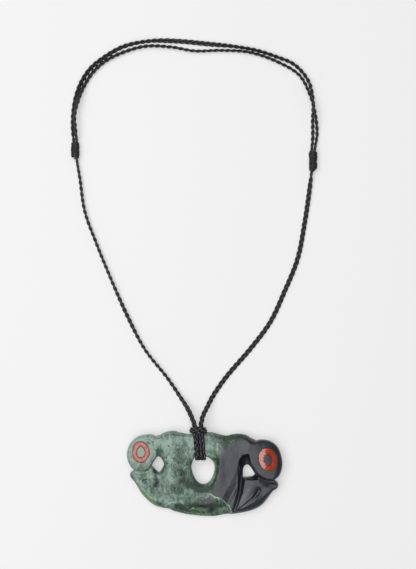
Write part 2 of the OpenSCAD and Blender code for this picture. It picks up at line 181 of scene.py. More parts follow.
# Depths of the rings of points inside the outline, beside a disc's edge and beside a groove's edge
RIM_RINGS = (0.0, 0.03, 0.08, 0.16, 0.28, 0.44, 0.66, 0.94, 1.28, 1.7, 2.2)
DISC_RINGS = (-0.5, -0.3, -0.15, -0.04, 0.04, 0.12, 0.24, 0.4, 0.62)
GROOVE_RINGS = (-0.16, -0.04, -0.02, 0.12)

FACE_LEVEL = 6.9
# Swells of the face: x, y, half length, half width, turn, rise
SWELLS = [
    (-19.5, 3, 22, 6.4, 90, 1.2),
    (-18.0, 21, 7, 5.0, 0, 0.2),
    (-31.0, 18, 7, 5.0, 90, 0.9),
    (-26.5, 15, 5, 1.8, 90, -0.5),
    (-36.0, -6, 13, 5.0, 120, -0.5),
    (-42.0, -1, 4, 3.0, 40, -0.7),
    (-31.0, -14, 9, 3.0, -42, -0.3),
    (8.5, 5, 12, 3.0, 90, 0.5),
    (15.0, 6, 12, 5.0, 100, 0.3),
    (22.0, 20, 7, 4.0, -10, 0.2),
    (31.0, 16, 7, 5.0, 90, 0.9),
    (25.6, 15, 4, 2.0, 90, -0.3),
    (0.0, -15, 16, 6.0, 0, 0.2),
    (24.5, -10, 10, 4.0, 65, 0.2),
    (36.0, -9, 8, 6.0, 40, -0.4),
    (1.5, -10.4, 5.0, 2.6, -12, -0.4),
    (42.0, -7, 4, 3.0, 0, -0.6),
]
# Valleys and, with a negative depth, ridges: rows of x, y, depth, half width
SHARP_VALLEYS = [
    [(21.2, 2.5, 2.0, 1.8), (21.3, -3.3, 3.4, 2.1), (20.4, -10.7, 2.8, 1.7), (18.8, -16.3, 1.8, 1.3),
     (17.3, -20.2, 0.8, 1.2)],
]
BODY_VALLEYS = [
    [(19.6, -1.3, -0.25, 0.6), (19.2, -5.8, -0.3, 0.55), (18.0, -12.0, -0.25, 0.5), (16.6, -16.8, -0.1, 0.5)],
    [(-26.8, 0.6, 0.3, 1.3), (-27.6, -6, 0.35, 1.6), (-26.6, -17, 0.15, 1.8)],
    [(33.0, -3.6, 0.5, 0.8), (37.0, -5.8, 0.8, 1.2), (41.0, -6.4, 0.5, 0.9)],
    [(29.6, -1.2, -0.25, 0.6), (33.4, -3.4, -0.3, 0.6), (36.6, -5.4, -0.15, 0.6)],
    [(-41.4, 1.0, -0.15, 0.5), (-36.0, 0.8, -0.25, 0.5), (-31.6, 2.6, -0.15, 0.5)],
    [(31.6, -9.0, 1.0, 1.3), (30.2, -11.4, 1.2, 1.2), (28.2, -13.6, 0.7, 0.7), (24.4, -16.6, 0.5, 0.4),
     (20.8, -19.2, 0.2, 0.4)],
    [(32.0, -7.4, -0.2, 0.4), (33.2, -9.2, -0.2, 0.4), (31.6, -12.8, -0.3, 0.4), (28.6, -15.6, -0.2, 0.35),
     (22.2, -19.6, -0.2, 0.3)],
    [(30.0, -9.4, -0.15, 0.35), (28.0, -12.2, -0.3, 0.3), (24.2, -15.6, -0.3, 0.3),
     (21.0, -18.4, -0.15, 0.3)],
    [(-35.3, -7.6, 0.25, 0.4), (-32.6, -10.9, 0.35, 0.4), (-29.7, -13.9, 0.2, 0.4)],
    [(-31.8, -6.7, 0.2, 0.4), (-31.0, -10.5, 0.2, 0.4)],
    [(-33.2, -12.4, 0.2, 0.4), (-30.2, -15.2, 0.15, 0.4)],
]
# The eye engraved in the left jaw: x, y and half width of its ring
ENGRAVED_EYE = (-34.0, -4.3, 1.9)
# Line from which the right side of the body is cut down, and its slope
FACET_LINE = [(19.6, 7.6), (17.5, 0.8), (15.1, -3.9), (13.1, -8.1), (10.7, -12.8), (9.6, -15.5)]
# Line below which the body's lower edge rolls away
LOWER_RIDGE = [
    (-38, -9.5), (-31, -13.8), (-24, -15.6), (-18, -16.3), (-12, -16.6), (-4, -17.0), (2, -17.0),
    (5.2, -15.6), (7.0, -14.0), (9.8, -15.0), (12.8, -17.2), (16.5, -22.5), (17, -26),
]
LOWER_SLOPE = 0.33
# Upper edge of the right recess, and the fall of its floor with the distance inside that edge
POCKET_EDGE = [
    (28.6, 8.0), (26.7, 10.8), (25.2, 12.1), (23.4, 11.9), (21.6, 11.0), (20.3, 9.4), (19.6, 7.2),
    (19.4, 3.4), (19.8, -3.0),
]
POCKET_FALL = ([-1, 0, 0.6, 1.4, 2.4, 6], [-3, 0, 1.7, 3.0, 3.9, 5.6])
POCKET_TOP = 7.5
# Middle of the left recess, and the height of its floor and half its width at each y
RECESS_X = -26.9
RECESS_FLOOR = ([3, 8.5, 9.6, 12, 14, 15.9, 17], [3.4, 3.4, 3.6, 5.0, 6.2, 7.4, 9])
RECESS_WIDTH = ([3, 9.4, 12, 15.9], [2.8, 2.5, 1.6, 0.5])
# For the left and the right head: y above which it is one form with its limb, and y of the jaw's top
LIMB_TOPS = (14.5, 12.0)
JAW_TOPS = (6.0, 3.5)

# Edge of the near black part: x, y, softness
NIGHT = [
    (29.5, 26, 3.5), (24.5, 21.6, 4.2), (18, 19.4, 5.0), (12.5, 16.4, 6.0), (10.0, 12.6, 4.6), (8.9, 8, 1.8),
    (8.6, 2, 0.7), (7.6, -2, 0.7), (6.0, -6.0, 0.8), (4.2, -8.4, 1.0), (2.4, -10.0, 1.0), (5.8, -12.0, 0.8),
    (9.5, -14.3, 0.6), (12.8, -16.7, 0.6), (15.8, -20.6, 0.9), (17.5, -27, 1.5), (60, -27, 2), (60, 40, 2),
]
# Violet grey patches: x, y, half length, half width, turn, strength
VIOLETS = [
    (0.6, -15.2, 5.0, 1.6, -8, 0.9),
    (3.6, -14.4, 2.2, 1.8, -20, 0.7),
    (-1.0, -17.9, 6.0, 0.9, -2, 0.8),
    (4.2, -20.2, 1.6, 2.4, 10, 0.7),
    (-25.8, -9.5, 4.0, 1.5, 88, 0.35),
    (-37.5, 0.2, 2.5, 1.0, -40, 0.3),
    (-14.5, -17.3, 3.0, 1.0, -15, 0.5),
    (-22.4, 21.6, 2.0, 1.2, 0, 0.2),
]
# Grey patches in the near black part, painted sheen that stands in for reflected light: x, y, half length,
# half width, turn, strength
HAZE_AND_SHEEN_PATCHES = [
    (23.2, -12.6, 6.5, 1.7, 62, 1.0),
    (27.0, -5.5, 4.0, 1.8, 20, 0.35),
    (18.2, -22.0, 2.0, 1.0, 30, 0.5),
]
# Patches from deep green, below 0, to pale, above 0, some of them painted shade: x, y, half length, half
# width, turn, strength
TONE_AND_SHADING_PATCHES = [
    (-36.5, 14.0, 10.5, 9.5, 0, 1.4),
    (-37.5, 20.4, 4.0, 1.6, 10, 0.8),
    (-37.5, 4.2, 5.0, 1.6, 0, -0.5),
    # painted shade in the left recess, over its deep green
    (-26.0, 14.4, 2.8, 2.0, 80, -0.7),
    (-25.4, 19.5, 3.6, 3.0, 0, 0.9),
    (-9.4, 20.6, 3.6, 3.2, 0, 1.9),
    (-9.0, 15.0, 4.5, 2.2, 90, 0.5),
    (-14.0, 8.0, 7.0, 2.5, 90, 0.3),
    # painted shade where the face rounds down into the left side of the middle hole
    (-8.4, 8.2, 2.6, 1.4, 90, -0.6),
    (-26.6, -17.3, 1.2, 0.8, -30, -1.4),
    (-14.8, -18.8, 3.6, 1.7, -15, -1.7),
    # deep green and painted shade in the valley below the left hole
    (-28.9, -6.0, 1.1, 1.2, 0, -1.0),
    (3.6, 17.2, 4.0, 3.6, 60, 0.5),
    (5.4, 21.8, 1.6, 1.2, 0, -0.5),
    (5.4, 11.6, 2.6, 1.5, -30, -0.5),
    # deep green and painted shade on the bevel at the right of the middle hole
    (7.3, 8.4, 2.4, 1.2, 90, -1.0),
    (12.0, -19.0, 3.4, 4.0, 30, -0.7),
    (4.2, -20.0, 2.0, 2.6, 0, -1.0),
    (0.0, -18.0, 8.0, 1.1, 0, -1.8),
    (-8.0, -21.5, 10.0, 1.4, -5, -1.3),
    (-33.0, -1.8, 4.5, 2.0, 30, 0.1),
    (-33.6, -12.0, 6.0, 2.4, -50, 2.0),
    (-17.0, -9.5, 5.0, 5.0, 0, -0.35),
    # deep green and painted shade along the steep top right edge
    (19.0, 20.0, 9.0, 4.0, 0, -1.1),
    (11.0, 17.0, 4.0, 3.4, 20, -0.7),
    (6.4, -14.6, 5.0, 2.4, -25, -0.7),
    (-4.0, -16.6, 7.0, 1.2, 0, -0.9),
    (1.0, -19.0, 7.0, 1.6, 0, -0.9),
]
# Soft lines of the same tone, among them a painted highlight and painted shade: rows of x, y, strength, half
# width
TONE_AND_SHADING_LINES = [
    # pale jade, with a painted highlight along the crest of the body's left swell
    [(-20.6, 22.5, 0.5, 2.4), (-20.4, 14, 0.8, 2.0), (-20.6, 8, 0.8, 1.8), (-19.6, 0, 0.7, 1.9),
     (-19.4, -6, 0.5, 2.2), (-20, -11, 0.2, 2.2)],
    # painted shade down the slope at the left of the middle hole and under it
    [(-15.6, 17.5, -0.2, 1.2), (-14.6, 10, -0.5, 1.4), (-13.8, 4, -0.8, 1.6), (-12, -2, -1.3, 2.0),
     (-9.0, -6.2, -2.2, 2.2), (-4.8, -8.2, -2.2, 1.8), (0, -8.8, -2.0, 1.5), (4, -8.0, -1.6, 1.2)],
    # deep green and painted shade in the valley below the left hole
    [(-28.9, 2.2, -1.4, 1.2), (-28.4, -2, -2.0, 1.2), (-27.6, -6.0, -1.1, 1.2)],
    [(-40.5, 1.8, 0.4, 0.7), (-36, 1.4, 0.5, 0.7), (-32, 2.6, 0.3, 0.7)],
    # deep green and painted shade along the steep top right edge
    [(9, 21.6, -0.3, 1.2), (14, 22.4, -0.8, 1.8), (20, 22.4, -0.9, 2.0), (26, 19.8, -0.9, 1.8)],
    # deep green and painted shade down the bevel and under the middle hole
    [(7.8, 9, -0.8, 0.9), (7.5, 2, -0.5, 0.9), (6.6, -3, -0.8, 0.9), (4.4, -6.8, -1.4, 1.0),
     (1.2, -8.8, -1.9, 1.3), (-3, -9.4, -1.7, 1.4)],
    [(6.4, 6, 0.3, 0.5), (6.0, 1, 0.6, 0.5), (5.0, -2.8, 0.6, 0.5), (3.2, -5.6, 0.3, 0.5)],
    [(-8, -10.9, 0.1, 0.7), (-2.5, -11.8, -0.3, 0.9), (2.5, -12.6, 0.1, 0.8), (6.2, -13.2, 0.6, 0.8)],
    # painted shade along the rounded left edge of the middle hole
    [(-6.9, 6, -0.7, 0.9), (-7.6, 2, -0.6, 0.9), (-5.8, -3.6, -0.6, 0.9), (-3.2, -6.4, -0.8, 0.9)],
    [(-24.2, 8.5, -0.5, 0.7), (-22.8, 5, -0.4, 0.6), (-25.0, 1, -0.4, 0.7)],
    # these three lines: painted shade in the carved grooves of the left jaw
    [(-35.3, -7.6, -1.2, 0.35), (-32.6, -10.9, -1.4, 0.35), (-29.7, -13.9, -1.0, 0.35)],
    [(-31.8, -6.7, -0.9, 0.35), (-31.0, -10.5, -0.8, 0.35)],
    [(-33.2, -12.4, -0.9, 0.3), (-30.2, -15.2, -0.8, 0.3)],
]
# Yellow green lines along the lower edge: rows of x, y, strength, half width
MOSS_LINES = [
    [(-41.5, -2.5, 0.3, 1.2), (-37.0, -9.6, 0.9, 1.8), (-32.6, -14.8, 1.0, 1.8), (-28.4, -17.8, 0.9, 1.3),
     (-24, -19.4, 0.5, 0.9)],
    [(-15, -21.4, 0.6, 0.7), (-6, -23.2, 0.9, 0.8), (3, -23.8, 0.8, 0.8), (8, -22.5, 0.7, 1.2),
     (12, -20, 0.7, 1.6)],
    [(-9, -20.4, 0.6, 0.9), (-4, -20.8, 0.8, 1.1), (1, -20.6, 0.7, 0.9)],
    [(6.3, 6, 0.5, 0.5), (5.9, 1, 0.7, 0.5), (4.9, -2.8, 0.7, 0.5), (3.2, -5.6, 0.5, 0.5)],
]
# Pale veins: rows of x, y, strength, half width
VEINS = [
    [(-9.6, -9.7, 0.5, 0.25), (-5, -10.4, 0.5, 0.25), (0.2, -10.6, 0.6, 0.25)],
    [(0.2, -10.6, 0.6, 0.3), (5.4, -12.2, 1.0, 0.4), (6.4, -12.9, 1.2, 0.6), (10.6, -14.4, 0.6, 0.3),
     (13.1, -17.2, 0.8, 0.3), (15.6, -20.3, 0.9, 0.4)],
    [(-8.6, -11.2, 0.4, 0.3), (-4, -12.4, 0.5, 0.3), (1, -12.6, 0.5, 0.3)],
    [(8.0, -14.2, 0.7, 0.25), (8.6, -17, 0.6, 0.25), (7.8, -19.8, 0.6, 0.25), (8.9, -22.6, 0.5, 0.25)],
    [(10.6, -14.9, 0.6, 0.22), (10.3, -17.6, 0.6, 0.22), (12.2, -19.9, 0.6, 0.22), (12, -22.4, 0.5, 0.22)],
    [(13.0, -17.4, 0.5, 0.2), (11.2, -18.8, 0.6, 0.2), (9.6, -21.2, 0.5, 0.2)],
    [(14.2, -19.0, 0.5, 0.22), (13.4, -21.3, 0.6, 0.22), (14.4, -22.9, 0.5, 0.22)],
    [(-22.6, -17.9, 0.8, 0.4), (-20.6, -16.5, 1.0, 0.45), (-18.2, -15.6, 0.9, 0.35),
     (-15.0, -15.9, 0.5, 0.3)],
    [(-20.2, -19.4, 0.5, 0.3), (-18.6, -17.4, 0.6, 0.3), (-16.2, -16.2, 0.5, 0.3)],
    [(-9.0, -21.6, 0.6, 0.25), (-7.4, -19.4, 0.9, 0.35), (-5.4, -20.0, 0.6, 0.25), (-2.6, -19.4, 0.7, 0.3),
     (0.6, -20.8, 0.6, 0.25)],
    [(-13, -21.8, 0.4, 0.25), (-8, -22.6, 0.7, 0.25), (-2, -23.4, 0.6, 0.25), (4, -23.6, 0.5, 0.25)],
    [(-34.9, -8.7, 0.5, 0.25), (-32.2, -12.2, 0.6, 0.25), (-29.3, -15.6, 0.5, 0.25)],
    [(-37.2, -6.3, 0.4, 0.25), (-34.0, -11.3, 0.5, 0.25), (-31.0, -14.9, 0.5, 0.25)],
    [(-22.4, 2.3, 0.5, 0.2), (-21.4, 6.4, 0.7, 0.3), (-19.5, 6.0, 0.5, 0.2)],
    [(-10.5, 17.6, 0.5, 0.2), (-8.3, 16.0, 0.6, 0.2), (-7.6, 13.5, 0.5, 0.2)],
    [(-10.8, 19.6, 0.5, 0.2), (-8.4, 18.4, 0.5, 0.2)],
]
# Dark pits: x, y, size
PITS = [
    (-32.9, 22.6, 0.35), (-32.2, 20.7, 0.32), (-33.6, 19.4, 0.3), (-32.6, 18.8, 0.42), (-31.2, 19.0, 0.28),
    (-29.8, 19.2, 0.42), (-29.9, 17.9, 0.3), (-33.8, 20.6, 0.2), (-31.1, 20.2, 0.22), (-31.6, 15.6, 0.25),
    (-30.9, 22.0, 0.2), (-17.8, 23.4, 0.5), (-20.9, 17.0, 0.42), (-22.1, 10.2, 0.4), (-13.5, 0.1, 0.45),
    (-27.9, -4.9, 0.6), (-28.6, -6.4, 0.45), (-15.4, 14.8, 0.4), (-14.8, 17.4, 0.3), (-9.0, 20.8, 0.3),
    (-8.5, 19.8, 0.22), (-25.6, -16.9, 0.6), (-26.8, -16.2, 0.35), (-24.6, -17.9, 0.45), (-30.6, -10.4, 0.35),
    (-17.2, -7.8, 0.3), (-19.6, 6.0, 0.25), (-12.6, 12.9, 0.3), (-10.6, 1.7, 0.35), (-41.3, 12.2, 0.35),
    (3.8, 22.6, 0.4), (6.1, 14.2, 0.35), (5.0, 20.6, 0.3), (8.6, 18.8, 0.3), (-23.4, -20.0, 0.3),
    (-34.2, -14.8, 0.2), (-14.6, -4.3, 0.25), (-10.2, 6.1, 0.3), (-38.2, 3.6, 0.25), (-11.4, 9.6, 0.3),
]

# Eye rings: x, y, half width, half height, turn of the outer and of the inner oval
LEFT_EYE = [(-36.9, 13.5, 5.0, 6.2, 0), (-36.9, 13.4, 2.25, 3.1, 0)]
RIGHT_EYE = [(36.5, 9.1, 5.1, 6.7, 16), (36.7, 8.9, 2.2, 3.3, 10)]
EYE_GROOVE = 0.9
EYE_PROUD = 0.25
# The ring's lip over the edge of its groove, and how much wider and deeper the groove is than the ring
EYE_LIP = 0.08
EYE_ROOM = (0.03, 0.08)
# How far a ring's outline strays from its oval, and the seed of that, on the left and on the right
EYE_WORN = ((1.3, 0.12), (4.1, 0.06))

# The lean of the stone on the cord behind it, and how far that moves and lifts the stone
LEAN = math.asin(1.9 / 35.0)
LEAN_BACK = 0.12
LEAN_LIFT = (25.05 - 0.45 * 2.9) * math.sin(LEAN)

# ---------------------------------------------------------------------------------------------
# Sizes of the cord in millimetres, in the rows of the part's source

CORD_W = 3.0
CORD_T = 1.7
CORD_GAP = 0.1
# The plait's outline in half widths and half thicknesses, and the most that its strands turn on edge
PLAIT = [(1, 0.45), (0.68, 1), (-0.68, 1), (-1, 0.45), (-1, -0.45), (-0.68, -1), (0.68, -1), (1, -0.45)]
MOST_TURN = 66
# Each wrap's middle and its ends, the cords' height in it, and how far each cord is from its middle
LEFT_WRAP = (-75.5, 183.5, 193.0)
RIGHT_WRAP = (63.2, 176.4, 187.8)
WRAPPED = 0.6
BESIDE = (CORD_T + CORD_GAP) / 2
# The wraps' thread: how far its middle is from the cords, half its thickness, its width and its thickness
THREAD_OUT = 0.2
THREAD_HALF = 0.28
THREAD_W = 0.8
THREAD_T = 0.55
# How tight the thread lies along a wrap, from its lower end: share of the length, and the tightness
LEFT_TIGHT = ([0, 0.2, 0.45, 0.75, 1], [0.92, 1.06, 1.08, 1.06, 0.97])
RIGHT_TIGHT = ([0, 0.16, 0.36, 0.5, 0.62, 0.85, 1], [0.92, 1.04, 1.06, 0.98, 1.06, 1.1, 0.98])
# Two points of the hitch's middle line, its height behind the stone, its y in the hole, its strands' swell
HITCH_MIDDLE = ((-4.4, 34.0), (-2.4, 9.0))
BEHIND = -CORD_GAP - CORD_T / 2
IN_HOLE = 10.0 - CORD_GAP - CORD_T / 2
HITCH_SWELL = 1.25
# Distance from the middle line, y, height, and the direction of the flat side, in the stone's frame
HITCH_HALF = [
    (2.0, 26.8, 9.4, (0.1, 0, 1)),
    (3.5, 26.2, 8.5, (0.8, 0, 0.6)),
    (4.1, 26.0, 5.6, (1, 0.2, 0)),
    (4.0, 25.8, 2.2, (0.8, 0.6, 0)),
    (3.2, 25.1, 0, (0.2, 0.7, -0.7)),
    (2.4, 23.2, BEHIND, (0, 0, -1)),
    (1.6, 11.4, BEHIND, (0, -0.1, -1)),
    (1.6, 9.7, -0.7, (0, -0.6, -0.8)),
    (1.6, IN_HOLE, 0.8, (0, -1, -0.1)),
    (1.6, IN_HOLE, 5.8, (0, -1, 0.1)),
    (1.6, 9.9, 7.6, (0, -0.7, 0.7)),
    (1.6, 12.0, 8.1, (0, -0.1, 1)),
    (1.6, 23.6, 8.0, (0, 0.1, 1)),
    (1.9, 29.2, 6.7, (0, 0.3, 1)),
    (3.4, 34.0, 4.6, (0, 0.4, 1)),
]
# x, y, height of the underside, turn of the flat side and, where the strands show it otherwise, their turn
LEFT_ROUTE = [
    (-10.2, 38.4, 3.6, 20),
    (-14.2, 44.4, 0.8, 45),
    (-22.0, 55.8, 0, 60),
    (-34.8, 72.0, 0, 85),
    (-45.0, 91.4, 0, 45),
    (-54.6, 113.0, 0, 80),
    (-63.2, 134.0, 0, 90),
    (-70.0, 152.8, 0, 90),
    (-72.8, 171.5, 0, 90),
    (LEFT_WRAP[0] + BESIDE, LEFT_WRAP[1], WRAPPED, 90),
    (LEFT_WRAP[0] + BESIDE, LEFT_WRAP[2], WRAPPED, 90),
    (-75.1, 199.5, 2.6, 85, 62),
    (-75.8, 208.3, 3.0, 50),
    (-73.6, 217.6, 2.4, 70, 43),
    (-70.2, 226.3, 0, 90, 43),
    (-64.6, 234.6, 0, 90, 43),
    (-55.8, 241.8, 0, 90, 45),
    (-36.0, 248.9, 0, 55),
    (-20.0, 248.7, 0, 60),
    (-6.0, 246.4, 0, 90),
    (10.0, 246.7, 0, 90),
    (26.4, 245.5, 0, 85),
    (43.0, 239.8, 0, 60),
    (55.0, 232.4, 0, 80),
    (61.2, 220.6, 3.2, 60),
    (64.2, 209.6, 3.2, 60),
    (65.6, 198.0, 0, 90),
    (RIGHT_WRAP[0] + BESIDE, RIGHT_WRAP[2], WRAPPED, 90),
    (RIGHT_WRAP[0] + BESIDE, RIGHT_WRAP[1] + 1, WRAPPED, 90),
]
RIGHT_ROUTE = [
    (1.6, 39.0, 3.6, 0),
    (4.8, 45.0, 0.8, 0),
    (12.4, 55.9, 0, 0),
    (27.6, 73.7, 0, 0),
    (38.4, 88.4, 0, 0),
    (46.6, 106.0, 0, 0),
    (54.2, 125.0, 0, 0),
    (58.3, 145.7, 0, 0),
    (61.3, 166.5, 0, 50, 20),
    (RIGHT_WRAP[0] - BESIDE, RIGHT_WRAP[1], WRAPPED, 90),
    (RIGHT_WRAP[0] - BESIDE, RIGHT_WRAP[2], WRAPPED, 90),
    (63.0, 195.0, 0, 90),
    (63.0, 206.0, 0, 90),
    (63.2, 217.5, 0, 90),
    (60.6, 228.6, 0, 90),
    (52.6, 238.2, 0, 90),
    (40.5, 243.5, 0, 90),
    (30.0, 246.8, 0, 90),
    (18.0, 248.9, 0, 80),
    (2.0, 250.5, 0, 20),
    (-16.0, 252.2, 0, 0),
    (-33.0, 252.1, 0, 60),
    (-48.0, 248.7, 0, 90, 46),
    (-60.4, 241.5, 0, 90, 43),
    (-67.0, 235.8, 0, 90, 43),
    (-72.0, 228.2, 0, 90, 43),
    (-75.2, 219.4, 0, 80, 43),
    (-76.8, 209.5, 0, 50),
    (-77.0, 200.0, 0, 90, 62),
    (LEFT_WRAP[0] - BESIDE, LEFT_WRAP[2], WRAPPED, 90),
    (LEFT_WRAP[0] - BESIDE, LEFT_WRAP[1] + 1, WRAPPED, 90),
]


# ---------------------------------------------------------------------------------------------
# Settings that a user would change


class StoneSettings(PropertyGroup):
    """Finish of the carved stone."""

    spacing: FloatProperty(
        name="Mesh spacing",
        description="Distance between two points of the carved face",
        default=0.0003,
        min=0.0002,
        unit="LENGTH",
    )
    # This pale green is the stone's own, and also a painted highlight along the crest of the body's left
    # swell
    pale: FloatVectorProperty(
        name="Pale jade",
        description="Milky green of the left head and limb",
        subtype="COLOR",
        default=(0.235, 0.34, 0.28),
    )
    middle: FloatVectorProperty(
        name="Middle green",
        description="Grey green of most of the left half",
        subtype="COLOR",
        default=(0.075, 0.135, 0.098),
    )
    # This deep green is the stone's own, and also painted shade by the middle hole, in the left recess, in
    # the valley below the left hole, along the top right edge and in the carved grooves
    leaf_and_shade: FloatVectorProperty(
        name="Leaf green",
        description="Deep green beside the holes and along the lower edge",
        subtype="COLOR",
        default=(0.011, 0.034, 0.019),
    )
    moss: FloatVectorProperty(
        name="Moss",
        description="Yellow green of the lower edge",
        subtype="COLOR",
        default=(0.11, 0.19, 0.075),
    )
    vein: FloatVectorProperty(
        name="Veins",
        description="Pale green of the fine veins",
        subtype="COLOR",
        default=(0.33, 0.5, 0.38),
    )
    night: FloatVectorProperty(
        name="Night green",
        description="Near black of the right head",
        subtype="COLOR",
        default=(0.005, 0.009, 0.015),
    )
    # This grey is a random haze in the near black part, and also that part's painted sheen of reflected light
    haze_and_sheen: FloatVectorProperty(
        name="Mist",
        description="Grey haze in the near black part",
        subtype="COLOR",
        default=(0.085, 0.087, 0.095),
    )
    polish: FloatProperty(
        name="Polish",
        description="Roughness of the polished face",
        subtype="FACTOR",
        default=0.37,
        min=0.0,
        max=1.0,
    )


class EyeSettings(PropertyGroup):
    """Colours of the two wax rings."""

    pink: FloatVectorProperty(
        name="Left ring",
        description="Pinkish red wax of the left eye",
        subtype="COLOR",
        default=(0.3, 0.07, 0.055),
    )
    pink_worn: FloatVectorProperty(
        name="Left ring, worn",
        description="Pale pink where the left ring has rubbed",
        subtype="COLOR",
        default=(0.52, 0.25, 0.225),
    )
    red: FloatVectorProperty(
        name="Right ring",
        description="Orange red wax of the right eye",
        subtype="COLOR",
        default=(0.32, 0.03, 0.008),
    )
    red_worn: FloatVectorProperty(
        name="Right ring, worn",
        description="Pinkish white where the right ring has rubbed",
        subtype="COLOR",
        default=(0.6, 0.3, 0.27),
    )


class CordSettings(PropertyGroup):
    """The plait and the thread wound round it."""

    black: FloatVectorProperty(
        name="Waxed black",
        description="Colour of the waxed thread",
        subtype="COLOR",
        default=(0.004, 0.004, 0.005),
    )
    rubbed: FloatVectorProperty(
        name="Rubbed black",
        description="Colour of the thread where it stands out",
        subtype="COLOR",
        default=(0.012, 0.012, 0.014),
    )
    threads: IntProperty(
        name="Threads in a strand",
        description="Fine threads that show round a strand",
        default=6,
        min=1,
    )
    repeat: FloatProperty(
        name="Plait repeat",
        description="Length in which a strand goes across and back",
        default=0.0103,
        unit="LENGTH",
    )
    strand_width: FloatProperty(
        name="Strand width",
        description="Width of one of the three strands",
        default=0.0014,
        unit="LENGTH",
    )
    strand_thick: FloatProperty(
        name="Strand thickness",
        description="Thickness of one of the three strands",
        default=0.001,
        unit="LENGTH",
    )
    turns: IntProperty(
        name="Turns a centimetre",
        description="Turns of thread in a centimetre of a sliding wrap",
        default=13,
    )


class StageSettings(PropertyGroup):
    """The floor, the lights and the camera."""

    floor: FloatVectorProperty(
        name="Floor",
        description="Colour of the pale floor",
        subtype="COLOR",
        default=(0.5, 0.5, 0.5),
    )
    glow: FloatProperty(
        name="Floor glow",
        description="Light of its own that the floor gives, which keeps the shadows faint",
        default=0.36,
    )
    softbox: FloatProperty(
        name="Softbox",
        description="Power of the large light overhead",
        default=20.5,
        subtype="POWER",
    )
    room: FloatProperty(
        name="Room light",
        description="Strength of the faint light from all sides",
        default=0.25,
    )
    camera_height: FloatProperty(
        name="Camera height",
        description="Height of the camera above the floor",
        default=0.9239,
        unit="LENGTH",
    )


# ---------------------------------------------------------------------------------------------
# Shader maths


class Wire:
    """An output of a shader node that can stand in an expression."""

    def __init__(self, bench, socket):
        self.bench = bench
        self.socket = socket

    def __add__(self, other):
        return self.bench.sum("ADD", self, other)

    def __radd__(self, other):
        return self.bench.sum("ADD", other, self)

    def __sub__(self, other):
        return self.bench.sum("SUBTRACT", self, other)

    def __rsub__(self, other):
        return self.bench.sum("SUBTRACT", other, self)

    def __mul__(self, other):
        return self.bench.sum("MULTIPLY", self, other)

    def __rmul__(self, other):
        return self.bench.sum("MULTIPLY", other, self)

    def __truediv__(self, other):
        return self.bench.sum("DIVIDE", self, other)

    def __rtruediv__(self, other):
        return self.bench.sum("DIVIDE", other, self)


class Bench:
    """A material and the nodes that are added to it."""

    def __init__(self, name):
        self.material = bpy.data.materials.new(name)
        self.material.use_nodes = True
        self.tree = self.material.node_tree
        self.shader = self.tree.nodes["Principled BSDF"]

    def node(self, kind, settings=None, inputs=None, out=0):
        """A node with its settings made first, then its sockets filled. Gives one of its outputs."""
        made = self.tree.nodes.new(kind)
        for key, value in (settings or {}).items():
            setattr(made, key, value)
        for key, value in (inputs or {}).items():
            self.put(made.inputs[key], value)
        return Wire(self, made.outputs[out])

    def put(self, socket, value):
        if isinstance(value, Wire):
            self.tree.links.new(value.socket, socket)
        elif socket.type == "RGBA" and len(value) == 3:
            socket.default_value = (*value, 1.0)
        else:
            socket.default_value = value

    def sum(self, operation, a, b):
        return self.node("ShaderNodeMath", {"operation": operation}, {0: a, 1: b})

    def mix(self, share, a, b):
        """Colour a where share is 0 and b where it is 1."""
        return self.node("ShaderNodeMix", {"data_type": "RGBA"}, {0: share, 6: a, 7: b}, 2)

    def place(self):
        """Coordinates of the object, in metres."""
        return self.node("ShaderNodeTexCoord", None, None, "Object")

    def noise(self, where, scale, detail=4.0, roughness=0.5, distortion=0.0):
        sockets = {"Vector": where, "Scale": scale, "Detail": detail, "Roughness": roughness,
                   "Distortion": distortion}
        return self.node("ShaderNodeTexNoise", {}, sockets)

    def step(self, value, low, high, to_low=0.0, to_high=1.0):
        """Smooth step of a value between two levels."""
        sockets = {0: value, 1: low, 2: high, 3: to_low, 4: to_high}
        return self.node("ShaderNodeMapRange", {"interpolation_type": "SMOOTHSTEP"}, sockets)

    def attribute(self, name):
        return self.node("ShaderNodeAttribute", {"attribute_name": name}, None, "Fac")

    def bump(self, height, strength, distance):
        sockets = {"Height": height, "Strength": strength, "Distance": distance}
        return self.node("ShaderNodeBump", {}, sockets)

    def finish(self, **sockets):
        for key, value in sockets.items():
            self.put(self.shader.inputs[key.replace("_", " ")], value)
        return self.material


# ---------------------------------------------------------------------------------------------
# Curves, distances and noise


def eased(x, xs, ys):
    """A curve through rows that rises only where they rise."""
    xs = np.asarray(xs, float)
    ys = np.asarray(ys, float)
    h = np.diff(xs)
    slope = np.diff(ys) / h
    tangent = np.zeros(len(xs))
    tangent[0], tangent[-1] = slope[0], slope[-1]
    for i in range(1, len(xs) - 1):
        if slope[i - 1] * slope[i] > 0:
            tangent[i] = 2 * slope[i - 1] * slope[i] / (slope[i - 1] + slope[i])
    x = np.clip(x, xs[0], xs[-1])
    k = np.clip(np.searchsorted(xs, x, side="right") - 1, 0, len(xs) - 2)
    t = (x - xs[k]) / h[k]
    u = 1 - t
    return (
        ys[k] * (1 + 2 * t) * u * u
        + ys[k + 1] * (3 - 2 * t) * t * t
        + tangent[k] * h[k] * t * u * u
        - tangent[k + 1] * h[k] * t * t * u
    )


def drawn(rows, step):
    """Points x, y, soft on a closed outline that leaves each row along the line between its neighbours."""
    points = []
    n = len(rows)
    for i in range(n):
        a, b = np.array(rows[i][:3]), np.array(rows[(i + 1) % n][:3])
        d = b[:2] - a[:2]
        long = np.linalg.norm(d)

        def leaving(k):
            if len(rows[k]) > 3:
                return d
            way = np.array(rows[(k + 1) % n][:2]) - np.array(rows[k - 1][:2])
            return way / np.linalg.norm(way) * long

        count = max(1, round(long / step))
        for j in range(count):
            t = j / count
            u = 1 - t
            p = a[:2] + d * t * t * (3 - 2 * t) + leaving(i) * t * u * u - leaving((i + 1) % n) * t * t * u
            points.append((*p, a[2] * u + b[2] * t))
    return np.array(points)


